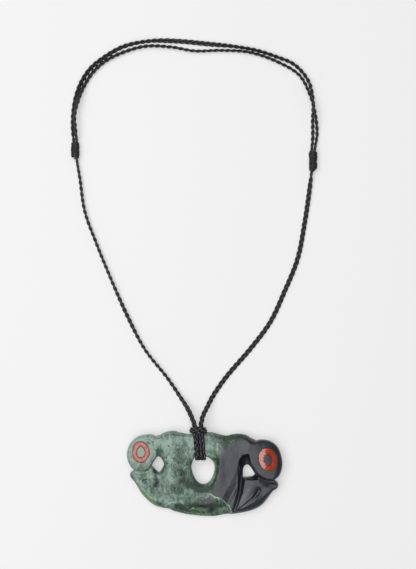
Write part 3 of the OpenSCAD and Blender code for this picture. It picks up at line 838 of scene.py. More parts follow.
def reach(points, line, closed=True):
    """Distance of points from a line, the line's further columns there, and the side they are on."""
    line = np.asarray(line, float)
    a = line if closed else line[:-1]
    b = np.roll(line, -1, 0) if closed else line[1:]
    ab = b[:, :2] - a[:, :2]
    long = (ab**2).sum(1)
    far = np.empty(len(points))
    side = np.empty(len(points))
    more = np.empty((len(points), line.shape[1] - 2))
    for start in range(0, len(points), 3000):
        p = points[start : start + 3000]
        ap = p[:, None, :] - a[None, :, :2]
        t = np.clip((ap * ab).sum(2) / long, 0, 1)
        gap = ap - t[..., None] * ab
        away = (gap**2).sum(2)
        k = away.argmin(1)
        rows = np.arange(len(p))
        far[start : start + 3000] = np.sqrt(away[rows, k])
        share = t[rows, k][:, None]
        more[start : start + 3000] = a[k, 2:] * (1 - share) + b[k, 2:] * share
        if closed:
            py = p[:, 1:2]
            crossed = (a[None, :, 1] > py) != (b[None, :, 1] > py)
            rise = np.where(ab[:, 1] == 0, 1e-12, ab[:, 1])
            at = a[None, :, 0] + (py - a[None, :, 1]) * ab[None, :, 0] / rise
            odd = (crossed & (p[:, 0:1] < at)).sum(1) % 2
            side[start : start + 3000] = np.where(odd == 1, 1.0, -1.0)
        else:
            turn = ab[k, 0] * ap[rows, k, 1] - ab[k, 1] * ap[rows, k, 0]
            side[start : start + 3000] = np.where(turn > 0, 1.0, -1.0)
    return far, more, side


def grain(x, y, size, seed=0):
    """Smooth noise from -1 to 1."""
    u = x / size + seed * 17.3
    v = y / size + seed * 9.1
    i, j = np.floor(u), np.floor(v)
    s, t = u - i, v - j
    s = s * s * (3 - 2 * s)
    t = t * t * (3 - 2 * t)

    def corner(a, b):
        h = np.sin(a * 127.1 + b * 311.7 + seed * 74.7) * 43758.5453
        return (h - np.floor(h)) * 2 - 1

    low = corner(i, j) * (1 - s) + corner(i + 1, j) * s
    high = corner(i, j + 1) * (1 - s) + corner(i + 1, j + 1) * s
    return low * (1 - t) + high * t


def soft_min(a, b, width):
    """The lower of two heights, with a fillet where they meet."""
    h = np.clip(0.5 + 0.5 * (b - a) / width, 0, 1)
    return b * (1 - h) + a * h - width * h * (1 - h)


def soft_max(a, b, width):
    """The higher of two heights, with a fillet where they meet."""
    return -soft_min(-a, -b, width)


def blob(x, y, row):
    """A soft round patch: 1 in its middle, fading outwards."""
    dx, dy = x - row[0], y - row[1]
    c, s = math.cos(math.radians(row[4])), math.sin(math.radians(row[4]))
    u = (dx * c + dy * s) / row[2]
    v = (dy * c - dx * s) / row[3]
    return np.exp(-u * u - v * v)


def smooth_step(x, low, high):
    """From 0 to 1 between two levels of x."""
    t = np.clip((x - low) / (high - low), 0, 1)
    return t * t * (3 - 2 * t)


def lifted(points):
    """Points in the stone's frame, in millimetres, as they lie in the row's frame, in metres."""
    p = np.asarray(points, float)
    c, s = math.cos(LEAN), math.sin(LEAN)
    y = p[:, 1] * c - p[:, 2] * s + LEAN_BACK
    z = p[:, 1] * s + p[:, 2] * c + LEAN_LIFT
    return np.stack([p[:, 0], y, z], 1) * MM


def engraved_ring(x, y):
    """Distance from the middle of the engraved eye, whose ring is a little flattened."""
    return np.hypot(x - ENGRAVED_EYE[0], (y - ENGRAVED_EYE[1]) * 1.15)


def added(name, data):
    """An object for the data, put into the scene."""
    thing = bpy.data.objects.new(name, data)
    bpy.context.scene.collection.objects.link(thing)
    return thing


def smoothed(mesh):
    """The mesh's faces are smooth shaded."""
    mesh.polygons.foreach_set("use_smooth", [True] * len(mesh.polygons))


def store(mesh, name, kind, values):
    """Values kept on the points of a mesh, as FLOAT or FLOAT_VECTOR."""
    kept = mesh.attributes.new(name, kind, "POINT")
    field = "value" if kind == "FLOAT" else "vector"
    kept.data.foreach_set(field, np.asarray(values, np.float32).ravel())


def made_mesh(name, points, faces, material, attributes=None):
    """An object with its place in its mesh, smooth shaded."""
    mesh = bpy.data.meshes.new(name)
    mesh.from_pydata([tuple(p) for p in points], [], [tuple(int(i) for i in f) for f in faces])
    mesh.validate()
    smoothed(mesh)
    for key, values in (attributes or {}).items():
        store(mesh, key, "FLOAT", values)
    mesh.materials.append(material)
    return added(name, mesh)


# ---------------------------------------------------------------------------------------------
# The carved stone


class Carving:
    """The stone's outline and face as functions of a place on it, in millimetres."""

    def __init__(self):
        self.body = drawn(BODY, 0.8)
        self.discs = [drawn(LEFT_DISC, 0.8), drawn(RIGHT_DISC, 0.8)]
        self.holes = [drawn(MIDDLE_HOLE, 0.6), drawn(LEFT_HOLE, 0.4), drawn(RIGHT_HOLE, 0.4)]

    def measure(self, p):
        """Depth inside the body, the discs and outside the holes, each with its soft width."""
        found = {}
        far, more, side = reach(p, self.body)
        found["body"] = (far * side, more[:, 0])
        for i, disc in enumerate(self.discs):
            far, more, side = reach(p, disc)
            found["disc", i] = (far * side, more[:, 0])
        for i, hole in enumerate(self.holes):
            far, more, side = reach(p, hole)
            found["hole", i] = (-far * side, more[:, 0])
        return found

    def depth(self, found):
        """Depth inside the outline of the whole stone."""
        plate = np.maximum(found["body"][0], np.maximum(found["disc", 0][0], found["disc", 1][0]))
        holes = np.minimum(found["hole", 0][0], np.minimum(found["hole", 1][0], found["hole", 2][0]))
        return np.minimum(plate, holes)

    def face(self, x, y):
        """The body's swelling face before it is cut."""
        return FACE_LEVEL + sum(s[5] * blob(x, y, s) for s in SWELLS)

    def height(self, p, found):
        """The height of the carved face."""
        y = p[:, 1]
        top = self.valleys(p, self.facets(p, self.face(p[:, 0], y)))
        # above the recesses the head and the limb are one form
        for i, apex in enumerate(LIMB_TOPS):
            near = smooth_step(found["disc", i][0], -6, -0.3) * smooth_step(y, apex - 3.5, apex + 0.5)
            top = top + near * (self.disc_face(p, i) - top)
        top = self.hollows(p, top)
        # the crease between each disc and the jaw below it
        for i, low in enumerate(JAW_TOPS):
            out = -found["disc", i][0]
            under = 1 - smooth_step(y, low - 2, low + 2)
            top = top - 0.8 * under * np.exp(-(((out - 0.15) / 0.4) ** 2)) * (out > -1)
        # the body's rounded edge, which goes over into the discs' edges above the limbs' tops
        inside, soft = found["body"]
        one = inside
        within = smooth_step(inside, 0, 2)
        shares = []
        for i, apex in enumerate(LIMB_TOPS):
            head = found["disc", i][0]
            shares.append(smooth_step(y, apex, apex + 3))
            one = one + shares[i] * within * (np.abs(head) < 12) * (soft_max(inside, head, 3.0) - inside)
        share = (eased(one / soft, *PLATE_EDGE) - RIM) / (1 - RIM)
        low = RIM * THICK
        stone = low + (top - low) * share + FALL * np.minimum(one, 0)
        # the discs
        for i in range(2):
            head, soft = found["disc", i]
            joined = head + shares[i] * smooth_step(head, 0, 2) * (soft_max(inside, head, 3.0) - head)
            disc = self.disc_face(p, i) * eased(joined / soft, *DISC_EDGE) + FALL * np.minimum(head, 0)
            stone = soft_max(stone, disc, 0.11 - 0.1 * shares[i])
        # the flared edges of the holes
        for i in range(3):
            out, soft = found["hole", i]
            flare = THICK * eased(out / soft, *HOLE_EDGE)
            if i == 0:
                right, steep = self.bevel(p, out)
                flare = flare * (1 - right) + steep * right
                stone = soft_min(stone, flare, 1.4 - 1.15 * right)
            else:
                stone = soft_min(stone, flare, 0.35)
        return stone

    def valleys(self, p, top):
        """The face with its valleys, its ridges and the engraved eye."""
        for rows in BODY_VALLEYS:
            far, more, _ = reach(p, rows, closed=False)
            top = top - more[:, 0] * np.exp(-((far / more[:, 1]) ** 2))
        for rows in SHARP_VALLEYS:
            far, more, _ = reach(p, rows, closed=False)
            top = top - more[:, 0] * np.clip(1 - np.sqrt(far**2 + 0.02) / more[:, 1], 0, 1)
        ring = engraved_ring(p[:, 0], p[:, 1])
        top = top - 0.22 * np.exp(-(((ring - ENGRAVED_EYE[2]) / 0.4) ** 2))
        return top - 0.2 * np.exp(-(((ring - 0.7) / 0.35) ** 2))

    def bevel(self, p, out):
        """The steep bevel at the right of the middle hole: how much of it there is, and its height."""
        far, _, _ = reach(p, BEVEL_RIDGE, closed=False)
        steep = eased(out / np.maximum(out + far, 0.01), *BEVEL_EDGE)
        angle = np.degrees(np.arctan2(p[:, 1] - 2, p[:, 0] + 1))
        right = smooth_step(angle, -85, -50) * (1 - smooth_step(angle, 25, 60))
        closed = [*BEVEL_RIDGE, (-3, -9), (-3, 14)]
        _, _, side = reach(p, [(*row, 0) for row in closed])
        # beyond the ridge the bevel is higher than the stone, so it cuts nothing
        return right, np.where(side < 0, 1.5 * THICK, steep)

    def disc_face(self, p, i):
        """The face of a disc, which on the right falls away towards its upper right."""
        if i == 0:
            return THICK + 0.1 - 0.0008 * ((p[:, 0] + 36) ** 2 + (p[:, 1] - 14) ** 2)
        along = np.clip((p[:, 0] - 27.5) * 0.8 + (p[:, 1] - 6) * 0.6, 0, None)
        return THICK + 0.15 - 0.0062 * along**2

    def facets(self, p, top):
        """The face cut down at its right and along its lower edge."""
        far, _, side = reach(p, FACET_LINE, closed=False)
        right = far * (side > 0)
        fade = smooth_step(-p[:, 1], -8.5, -3.0) * (1 - smooth_step(right, 4.0, 6.0))
        slope = 0.12 + 0.08 * smooth_step(-p[:, 1], 4, 12)
        top = top - fade * slope * np.clip(right, 0, 3.5)
        far, _, side = reach(p, LOWER_RIDGE, closed=False)
        below = far * (side < 0) * (p[:, 1] < -12)
        return top - LOWER_SLOPE * (np.sqrt(below**2 + 0.3) - 0.548)

    def hollows(self, p, top):
        """The face with the two recesses between the heads and the body."""
        x, y = p[:, 0], p[:, 1]
        # left recess, below the place where the head meets the limb
        floor = eased(y, *RECESS_FLOOR)
        wide = eased(y, *RECESS_WIDTH)
        recess = floor + 2.6 * (np.abs(x - RECESS_X) / wide) ** 2 + 9 * smooth_step(-y, -2.5, 1.5)
        top = soft_min(top, recess, 0.6)
        # right recess, a pocket with steep sides whose floor falls towards the hole
        far, _, side = reach(p, POCKET_EDGE, closed=False)
        inwards = np.where(side > 0, far, -far)
        pocket = POCKET_TOP - eased(inwards, *POCKET_FALL)
        pocket = pocket + smooth_step(-y, 0.5, 4.0) * 6
        return np.where((y > -4) & (x > 15) & (x < 31), soft_min(top, pocket, 0.3), top)


def contours(field, xs, ys, level):
    """Closed lines where a field on a grid passes a level."""
    f = field - level
    above = f > 0
    mixed = (
        (above[:-1, :-1] != above[:-1, 1:])
        | (above[:-1, :-1] != above[1:, :-1])
        | (above[:-1, :-1] != above[1:, 1:])
    )
    links = {}

    def place(key):
        kind, j, i = key
        if kind == 0:
            t = f[j, i] / (f[j, i] - f[j, i + 1])
            return xs[i] + (xs[i + 1] - xs[i]) * t, ys[j]
        t = f[j, i] / (f[j, i] - f[j + 1, i])
        return xs[i], ys[j] + (ys[j + 1] - ys[j]) * t

    for j, i in zip(*np.nonzero(mixed)):
        corners = above[j, i], above[j, i + 1], above[j + 1, i + 1], above[j + 1, i]
        keys = (0, j, i), (1, j, i + 1), (0, j + 1, i), (1, j, i)
        cut = [keys[k] for k in range(4) if corners[k] != corners[(k + 1) % 4]]
        if len(cut) == 4:
            middle = f[j, i] + f[j, i + 1] + f[j + 1, i + 1] + f[j + 1, i] > 0
            cut = cut if middle != corners[0] else cut[1:] + cut[:1]
        for a, b in zip(cut[::2], cut[1::2]):
            links.setdefault(a, []).append(b)
            links.setdefault(b, []).append(a)
    loops = []
    while links:
        start = next(iter(links))
        loop = [start]
        came, now = None, start
        while True:
            onward = [k for k in links[now] if k != came]
            if not onward:
                break
            came, now = now, onward[0]
            if now == start:
                break
            loop.append(now)
        for key in loop:
            links.pop(key, None)
        if len(loop) > 8:
            loops.append(np.array([place(k) for k in loop]))
    return loops


def spaced(loop, step):
    """The closed loop with its points at equal distances."""
    closed = np.vstack([loop, loop[:1]])
    along = np.concatenate([[0], np.cumsum(np.linalg.norm(np.diff(closed, axis=0), axis=1))])
    count = max(8, round(along[-1] / step))
    at = np.arange(count) / count * along[-1]
    return np.stack([np.interp(at, along, closed[:, k]) for k in range(2)], 1)


def worn(angle, seed, size):
    """How far a worn outline is from its oval, at an angle."""
    slow = np.sin(3 * angle + seed) + 0.7 * np.sin(5 * angle + 2.1 * seed)
    return size * (slow + 0.5 * np.sin(11 * angle + 3.3 * seed))


def oval_depth(p, oval, seed, size):
    """About how far inside a worn oval a point is."""
    a = math.radians(oval[4])
    dx, dy = p[:, 0] - oval[0], p[:, 1] - oval[1]
    u = (dx * math.cos(a) + dy * math.sin(a)) / oval[2]
    v = (dy * math.cos(a) - dx * math.sin(a)) / oval[3]
    r = np.hypot(u, v)
    slope = np.hypot(u / oval[2], v / oval[3]) / np.maximum(r, 1e-6)
    return (1 - r) / np.maximum(slope, 1e-6) + worn(np.arctan2(v, u), seed, size)


def ring_cut(p):
    """How far inside the band of an eye ring a point is, for the nearer ring."""
    bands = []
    for eye, (seed, size) in zip((LEFT_EYE, RIGHT_EYE), EYE_WORN):
        outer = oval_depth(p, eye[0], seed, size)
        bands.append(np.minimum(outer, -oval_depth(p, eye[1], seed + 2, size)))
    return np.maximum(*bands)


def grid_points(xs, ys):
    """The points of a grid, row by row."""
    gx, gy = np.meshgrid(xs, ys)
    return np.stack([gx.ravel(), gy.ravel()], 1)


def closed_edges(start, count):
    """The edges of a closed loop of points that are numbered from start."""
    return [(start + k, start + (k + 1) % count) for k in range(count)]


def triangulated(points, edges, gap):
    """Points and triangles that keep the edges, and the old numbers of each point."""
    made = delaunay_2d_cdt([tuple(p) for p in points], edges, [], 0, gap, True)
    return np.array([tuple(v) for v in made[0]]), np.array(made[2]), made[3]


def turned(verts, tris, up):
    """The triangles, all of them facing up (1) or down (-1)."""
    a, b, c = (verts[tris[:, k]] for k in range(3))
    wrong = np.cross(b - a, c - a) * up < 0
    tris[wrong] = tris[wrong][:, ::-1]
    return tris


def crisp_rings(carving, disc_fields, band, xs, ys, step):
    """Points beside the edges of the discs and of the grooves, where the face bends sharply."""
    crisp = []
    for field in disc_fields:
        for level in DISC_RINGS:
            crisp.extend(spaced(loop, step * 1.1) for loop in contours(field, xs, ys, level))
    for level in GROOVE_RINGS:
        crisp.extend(spaced(loop, step * 1.1) for loop in contours(band, xs, ys, level))
    crisp = np.vstack(crisp)
    depth = carving.depth(carving.measure(crisp))
    # at the top of the heads the outline's own rings are enough
    wanted = (depth > 0.02) & ((depth <= 2.3) | (crisp[:, 1] < 17))
    return crisp[wanted], depth[wanted]


def stone_sheet(carving, step):
    """The triangulated face of the stone, with rings of points along every edge of it."""
    xs = np.arange(-47, 47, step)
    ys = np.arange(-27, 27, step)
    shape = len(ys), len(xs)
    grid = grid_points(xs, ys)
    found = carving.measure(grid)
    depth = carving.depth(found)
    points, edges, rims = [], [], []
    taken = 0
    for level in RIM_RINGS:
        for loop in contours(depth.reshape(shape), xs, ys, level):
            loop = spaced(loop, step * 1.1)
            if level == 0:
                loop = settled(carving, settled(carving, loop))
                rims.append(np.arange(taken, taken + len(loop)))
            points.append(loop)
            edges += closed_edges(taken, len(loop))
            taken += len(loop)
    disc_fields = [found["disc", i][0].reshape(shape) for i in range(2)]
    band = ring_cut(grid).reshape(shape)
    crisp, crisp_depth = crisp_rings(carving, disc_fields, band, xs, ys, step)
    # the grid's points give way to the crisp rings beside them
    marked = np.zeros(shape, bool)
    ix = np.clip(np.round((crisp[:, 0] - xs[0]) / step).astype(int), 0, len(xs) - 1)
    iy = np.clip(np.round((crisp[:, 1] - ys[0]) / step).astype(int), 0, len(ys) - 1)
    marked[iy, ix] = True
    points.append(grid[(depth > RIM_RINGS[-1] + step * 0.5) & ~marked.ravel()])
    points.append(crisp[crisp_depth > 2.25])
    verts, tris, olds = triangulated(np.vstack(points), edges, 1e-6)
    first = {}
    for new, old_ones in enumerate(olds):
        for old in old_ones:
            first[old] = new
    rims = [np.array([first[k] for k in rim]) for rim in rims]
    middle_depth = carving.depth(carving.measure(verts[tris].mean(1)))
    on_rim = np.isin(tris, np.concatenate(rims)).all(1)
    tris = tris[(middle_depth > 0) | (~on_rim & (middle_depth > -0.02))]
    return verts, turned(verts, tris, 1), rims


def settled(carving, loop):
    """The loop moved so that each point is on the outline."""
    step = 0.02
    here = carving.depth(carving.measure(loop))
    right = carving.depth(carving.measure(loop + (step, 0)))
    up = carving.depth(carving.measure(loop + (0, step)))
    slope = np.stack([right - here, up - here], 1) / step
    size = (slope**2).sum(1)
    move = np.clip(-here / np.maximum(size, 0.25), -0.1, 0.1)
    return loop + slope * move[:, None]


def hand_polish(x, y):
    """The slight unevenness of a face that is polished by hand."""
    return 0.05 * grain(x, y, 4.0, 3) + 0.02 * grain(x, y, 1.4, 5)


def softness(here):
    """Along an edge: whether it is a hole's, and its soft width."""
    hole_depths = np.stack([here["hole", i][0] for i in range(3)])
    hole = hole_depths.min(0) < 0.3
    hole_soft = np.choose(hole_depths.argmin(0), [here["hole", i][1] for i in range(3)])
    plates = [here["body"], here["disc", 0], here["disc", 1]]
    nearest = np.stack([plate[0] for plate in plates]).argmax(0)
    return hole, np.where(hole, hole_soft, np.choose(nearest, [plate[1] for plate in plates]))


def into_stone(carving, place):
    """Directions from a closed edge into the stone, and whether the edge has to be turned round."""
    tangent = np.roll(place, -1, 0) - np.roll(place, 1, 0)
    tangent /= np.maximum(np.linalg.norm(tangent, axis=1), 1e-9)[:, None]
    normal = np.stack([-tangent[:, 1], tangent[:, 0]], 1)
    outside = carving.depth(carving.measure(place + normal * 0.1)) < 0
    normal[outside] *= -1
    return normal, outside.mean() > 0.5


def wall_rows(top, hole, soft):
    """Height and inset of each row of points from the face's edge down to the back."""

    def edge(column, k):
        return np.where(hole, BACK_HOLE[column][k], BACK_PLATE[column][k])

    low = edge(0, 0) * THICK
    rows = [(top * (1 - t) + low * t, np.zeros(len(top))) for t in (0.25, 0.5, 0.75, 1.0)]
    return rows + [(edge(0, k) * THICK, edge(1, k) * soft) for k in (1, 2, 3)]


def plain_back(carving, bottoms, taken):
    """The flat back between the walls' lowest rows: its further points and its triangles."""
    loops = [loop for _, loop in bottoms]
    ids = np.concatenate([keys for keys, _ in bottoms])
    edges, count = [], 0
    for loop in loops:
        edges += closed_edges(count, len(loop))
        count += len(loop)
    grid = grid_points(np.arange(-45, 46, BACK_STEP), np.arange(-26, 26, BACK_STEP))
    grid = grid[carving.depth(carving.measure(grid)) > 2 * BACK_STEP]
    verts, tris, olds = triangulated(np.vstack([*loops, grid]), edges, 1e-7)
    new_ids = np.full(len(verts), -1)
    for new, old_ones in enumerate(olds):
        for old in old_ones:
            if old < len(ids) and new_ids[new] < 0:
                new_ids[new] = ids[old]
    extra = new_ids < 0
    new_ids[extra] = np.arange(taken, taken + extra.sum())
    tris = turned(verts, tris[inside_loops(verts[tris].mean(1), loops)], -1)
    return np.column_stack([verts[extra], np.zeros(extra.sum())]), new_ids[tris]


def carve_stone(settings, material):
    """The stone as one closed mesh: face, rounded walls and a plain back."""
    carving = Carving()
    flat, tris, rims = stone_sheet(carving, settings.spacing / MM)
    found = carving.measure(flat)
    z = carving.height(flat, found)
    z = np.where(ring_cut(flat) > -EYE_ROOM[0], z - EYE_GROOVE - EYE_ROOM[1], z)
    z = z + smooth_step(carving.depth(found), 0.2, 1.5) * hand_polish(flat[:, 0], flat[:, 1])
    points = [np.column_stack([flat, z])]
    faces = [tris]
    taken = len(flat)
    bottoms = []
    for rim in rims:
        place = flat[rim]
        hole, soft = softness(carving.measure(place))
        normal, backwards = into_stone(carving, place)
        if backwards:
            rim, place, hole, soft, normal = rim[::-1], place[::-1], hole[::-1], soft[::-1], normal[::-1]
        above = rim
        for level, inset in wall_rows(z[rim], hole, soft):
            row = place + normal * inset[:, None]
            points.append(np.column_stack([row, level]))
            below = np.arange(taken, taken + len(rim))
            taken += len(rim)
            next_above, next_below = np.roll(above, -1), np.roll(below, -1)
            faces.append(np.column_stack([above, below, next_below]))
            faces.append(np.column_stack([above, next_below, next_above]))
            above = below
        bottoms.append((above, row))
    extra, back = plain_back(carving, bottoms, taken)
    points = np.vstack([*points, extra])
    faces = np.vstack([*faces, back])
    return made_mesh("carved_stone", lifted(points), faces, material, stone_marks(points))


def inside_loops(p, loops):
    """Whether each point is inside an odd number of the closed loops."""
    odd = np.zeros(len(p), int)
    for loop in loops:
        _, _, side = reach(p, np.column_stack([loop, np.zeros(len(loop))]))
        odd += side > 0
    return odd % 2 == 1


def stone_marks(points):
    """Attributes that the stone's colours follow, painted highlight, shade and sheen among them."""
    x, y = points[:, 0], points[:, 1]
    flat = points[:, :2]
    # the edge of the dark part slants through the stone below its face
    slant = 0.6 * np.clip(4.0 - points[:, 2], 0, 4) * (1 + 0.6 * grain(x, y, 3.0, 31))
    far, more, side = reach(np.stack([x + slant, y], 1), NIGHT)
    night = smooth_step(far * side, -more[:, 0], more[:, 0])
    # the stone's deep and pale greens, with painted highlight and painted shade among the patches and lines
    tone_and_shading = np.zeros(len(points))
    moss = np.zeros(len(points))
    for row in TONE_AND_SHADING_PATCHES:
        tone_and_shading = tone_and_shading + row[5] * blob(x, y, row)
    for rows in TONE_AND_SHADING_LINES:
        tone_and_shading = tone_and_shading + stroke(flat, rows)
    # the engraved eye darkened as painted shade along its ring groove, faded at random, and in its middle
    ring = engraved_ring(x, y)
    faded = 0.6 + 0.6 * grain(x, y, 1.1, 61)
    tone_and_shading = tone_and_shading - 1.3 * np.exp(-(((ring - ENGRAVED_EYE[2]) / 0.38) ** 2)) * faded
    tone_and_shading = tone_and_shading - 0.8 * np.exp(-((ring / 0.5) ** 2))
    wx = x + 1.5 * grain(x, y, 2.6, 51) + 0.8 * grain(x, y, 0.9, 52)
    wy = y + 1.0 * grain(x, y, 2.2, 53) + 0.6 * grain(x, y, 0.8, 54)
    for row in VIOLETS:
        night = np.maximum(night, row[5] * np.minimum(1.3 * blob(wx, wy, row), 1))
    for rows in MOSS_LINES:
        moss = np.maximum(moss, stroke(np.stack([wx, wy], 1), rows))
    vein = np.zeros(len(points))
    wander = np.stack([x + 0.35 * grain(x, y, 1.3, 41), y + 0.35 * grain(x, y, 1.3, 43)], 1)
    for rows in VEINS:
        vein = np.maximum(vein, stroke(wander, rows))
    pit = np.zeros(len(points))
    for px, py, size in PITS:
        far = np.hypot(x - px + 0.25 * grain(x, y, 0.6, 7), (y - py + 0.25 * grain(x, y, 0.6, 8)) * 1.1)
        pit = np.maximum(pit, np.exp(-((far / size / 1.25) ** 3)))
    # painted sheen of reflected light in the near black part, kept to the face
    haze_and_sheen = np.zeros(len(points))
    for row in HAZE_AND_SHEEN_PATCHES:
        haze_and_sheen = np.maximum(haze_and_sheen, row[5] * blob(x, y, row))
    side_rim = np.clip(points[:, 2] / 3.0, 0, 1)
    marks = {"night": night, "tone_and_shading": tone_and_shading, "moss": moss, "haze_and_sheen": haze_and_sheen * side_rim}
    marks.update({"vein": vein * side_rim, "pit": pit * side_rim})
    return marks


def stroke(flat, rows):
    """A soft line whose strength and half width change along it."""
    far, more, _ = reach(flat, rows, closed=False)
    return more[:, 0] * np.exp(-((far / more[:, 1]) ** 2))


# ---------------------------------------------------------------------------------------------
# Materials


def nephrite(settings):
    """Polished stone, from pale jade to near black, that follows the marks on its mesh, painted highlight,
    shade and sheen among them.
    """
    bench = Bench("polished_nephrite")
    where = bench.place()
    stretch = bench.node("ShaderNodeMapping", None, {"Vector": where, "Scale": (1.0, 0.45, 1.0)})
    cloud = bench.noise(where, 190.0, 5.0, 0.6, 0.6)
    streak = bench.noise(stretch, 620.0, 4.0, 0.6, 0.8)
    fine = bench.noise(where, 1900.0, 3.0, 0.6)
    speck = bench.noise(where, 1250.0, 2.0, 0.5, 0.4)
    # the tone holds the stone's pale and deep greens, and also a painted highlight and painted shade
    tone_and_shading = bench.attribute("tone_and_shading") + (cloud - 0.5) * 4.5 + (streak - 0.5) * 4.0 + (fine - 0.5) * 2.6
    pale = bench.step(tone_and_shading, -0.15, 1.15)
    # share of deep green, which also carries the painted shade
    deep_and_shade = bench.step(tone_and_shading, -1.35, 0.05, 1.0, 0.0)
    colour = bench.mix(pale, settings.middle, settings.pale)
    colour = bench.mix(bench.step(speck, 0.6, 0.72) * 0.55, colour, settings.leaf_and_shade)
    colour = bench.mix(deep_and_shade, colour, settings.leaf_and_shade)
    moss = bench.step(bench.attribute("moss") + (streak - 0.5) * 1.2, 0.15, 0.95)
    colour = bench.mix(moss * (1.0 - deep_and_shade * 0.7), colour, settings.moss)
    night = bench.step(bench.attribute("night") + (cloud - 0.5) * 0.7 + (streak - 0.5) * 0.6, 0.15, 0.85)
    dusk = bench.step(cloud * 0.5 + streak * 0.5, 0.44, 0.66) * 0.2
    dark = bench.mix(dusk, settings.night, settings.haze_and_sheen)
    colour = bench.mix(night, colour, dark)
    # painted grey sheen that stands in for the light reflected by the near black part
    haze_and_sheen = bench.attribute("haze_and_sheen") * (streak * 1.6 + fine - 0.45)
    colour = bench.mix(bench.step(haze_and_sheen, 0.0, 1.0), colour, settings.haze_and_sheen)
    thread = bench.noise(where, 900.0, 3.0, 0.7, 1.0)
    vein = bench.step(bench.attribute("vein") * (0.3 + thread * 1.4), 0.25, 0.9)
    colour = bench.mix(vein * 0.8, colour, settings.vein)
    pit = bench.attribute("pit")
    colour = bench.mix(pit, colour, settings.night)
    calm = (1.0 - night) * (0.07 + deep_and_shade * 0.22)
    rough = settings.polish + calm + (fine - 0.5) * 0.14 + (streak - 0.5) * 0.1 + pit * 0.3
    bump = bench.bump(cloud * 0.5 + streak * 0.4 + fine * 0.15 - pit * 0.8, 0.35, 0.00014)
    return bench.finish(Base_Color=colour, Roughness=rough, Normal=bump, IOR=1.58)


def waxed_thread(settings, name, lay, gloss=0.5):
    """Waxed black thread, whose fine threads wind round a strand with the given length of a turn."""
    bench = Bench(name)
    where = bench.place()
    turn = bench.attribute("along") * (math.tau * settings.threads / lay)
    twist = bench.attribute("round_x") * bench.sum("COSINE", turn, 0.0)
    twist = twist + bench.attribute("round_y") * bench.sum("SINE", turn, 0.0)
    fluff = bench.noise(where, 2500.0, 3.0, 0.6)
    worn_wax = bench.noise(where, 420.0, 3.0, 0.6)
    rough = 0.3 + fluff * 0.2 + (worn_wax - 0.5) * 0.25
    colour = bench.mix(bench.step(twist, -0.9, 0.9), settings.black, settings.rubbed)
    bump = bench.bump(twist * 0.5 + fluff, 0.5, 0.00006)
    return bench.finish(Base_Color=colour, Roughness=rough, Normal=bump, Specular_IOR_Level=gloss)


def wax(colour, worn_colour, name, eye, one_sided):
    """Wax that has rubbed pale, all over or towards the left."""
    bench = Bench(name)
    where = bench.place()
    axis = bench.node("ShaderNodeSeparateXYZ", None, {0: where}, 0)
    blotch = bench.noise(where, 800.0, 3.0, 0.6, 0.6)
    fleck = bench.noise(where, 2100.0, 2.0, 0.6)
    mottle = (blotch - 0.5) * 3.2 + (fleck - 0.5) * 2.4
    band = bench.attribute("band")
    if one_sided:
        left = bench.step((eye[0][0] * MM - axis) / (3.4 * MM), -0.6, 1.1)
        share = bench.step(left * 0.85 - (1.0 - band) * 0.25 + mottle * 0.6, 0.25, 0.8)
    else:
        share = bench.step(band * 0.85 - 0.05 + mottle * 0.55, 0.1, 0.95)
    paint = bench.mix(share, colour, worn_colour)
    bump = bench.bump(blotch + fleck * 0.5, 0.5, 0.0002)
    level = {"Specular_IOR_Level": 0.12}
    return bench.finish(Base_Color=paint, Roughness=0.55 - share * 0.15, Normal=bump, **level)


# ---------------------------------------------------------------------------------------------
# The plaited cord


def half_height(turn):
    """Half the height of the plait when its flat side is turned."""
    c, s = math.cos(math.radians(turn)), math.sin(math.radians(turn))
    return max(abs(a * CORD_W * s + b * CORD_T * c) / 2 for a, b in PLAIT)


def hitch_rows():
    """Centre points, in metres, and facings of the hitch from its left end to its right end."""

    def point(row, side):
        (x1, y1), (x0, y0) = HITCH_MIDDLE
        middle = x0 + (x1 - x0) * (row[1] - y0) / (y1 - y0)
        return (middle + side * row[0], row[1], row[2])

    c, s = math.cos(LEAN), math.sin(LEAN)

    def facing(row, side):
        x, y, z = side * row[3][0], row[3][1], row[3][2]
        return (x, y * c - z * s, y * s + z * c)

    left = [(point(r, -1), facing(r, -1)) for r in HITCH_HALF[::-1]]
    right = [(point(r, 1), facing(r, 1)) for r in HITCH_HALF]
    rows = left + right
    return lifted([r[0] for r in rows]), np.array([r[1] for r in rows])


def free_cord_rows(end, route):
    """Centre points, in metres, and facings of a cord from the hitch along its route."""
    centres, facings = hitch_rows()
    start, face = (centres[0], facings[0]) if end < 0 else (centres[-1], facings[-1])
    points = [start]
    for x, y, z, turn, *_ in route:
        points.append(np.array([x, y, z + half_height(turn)]) * MM)
    points = np.array(points)
    ways = np.gradient(points, axis=0)
    faces = [face]
    for i, row in enumerate(route):
        along = ways[i + 1] / np.linalg.norm(ways[i + 1])
        level = np.cross((0, 0, 1), along)
        level /= np.linalg.norm(level)
        shown = row[3] if row[2] == WRAPPED else min(row[3], MOST_TURN)
        turn = math.radians(row[4] if len(row) > 4 else shown)
        faces.append(np.array((0, 0, 1)) * math.cos(turn) + level * math.sin(turn))
    return points, np.array(faces)


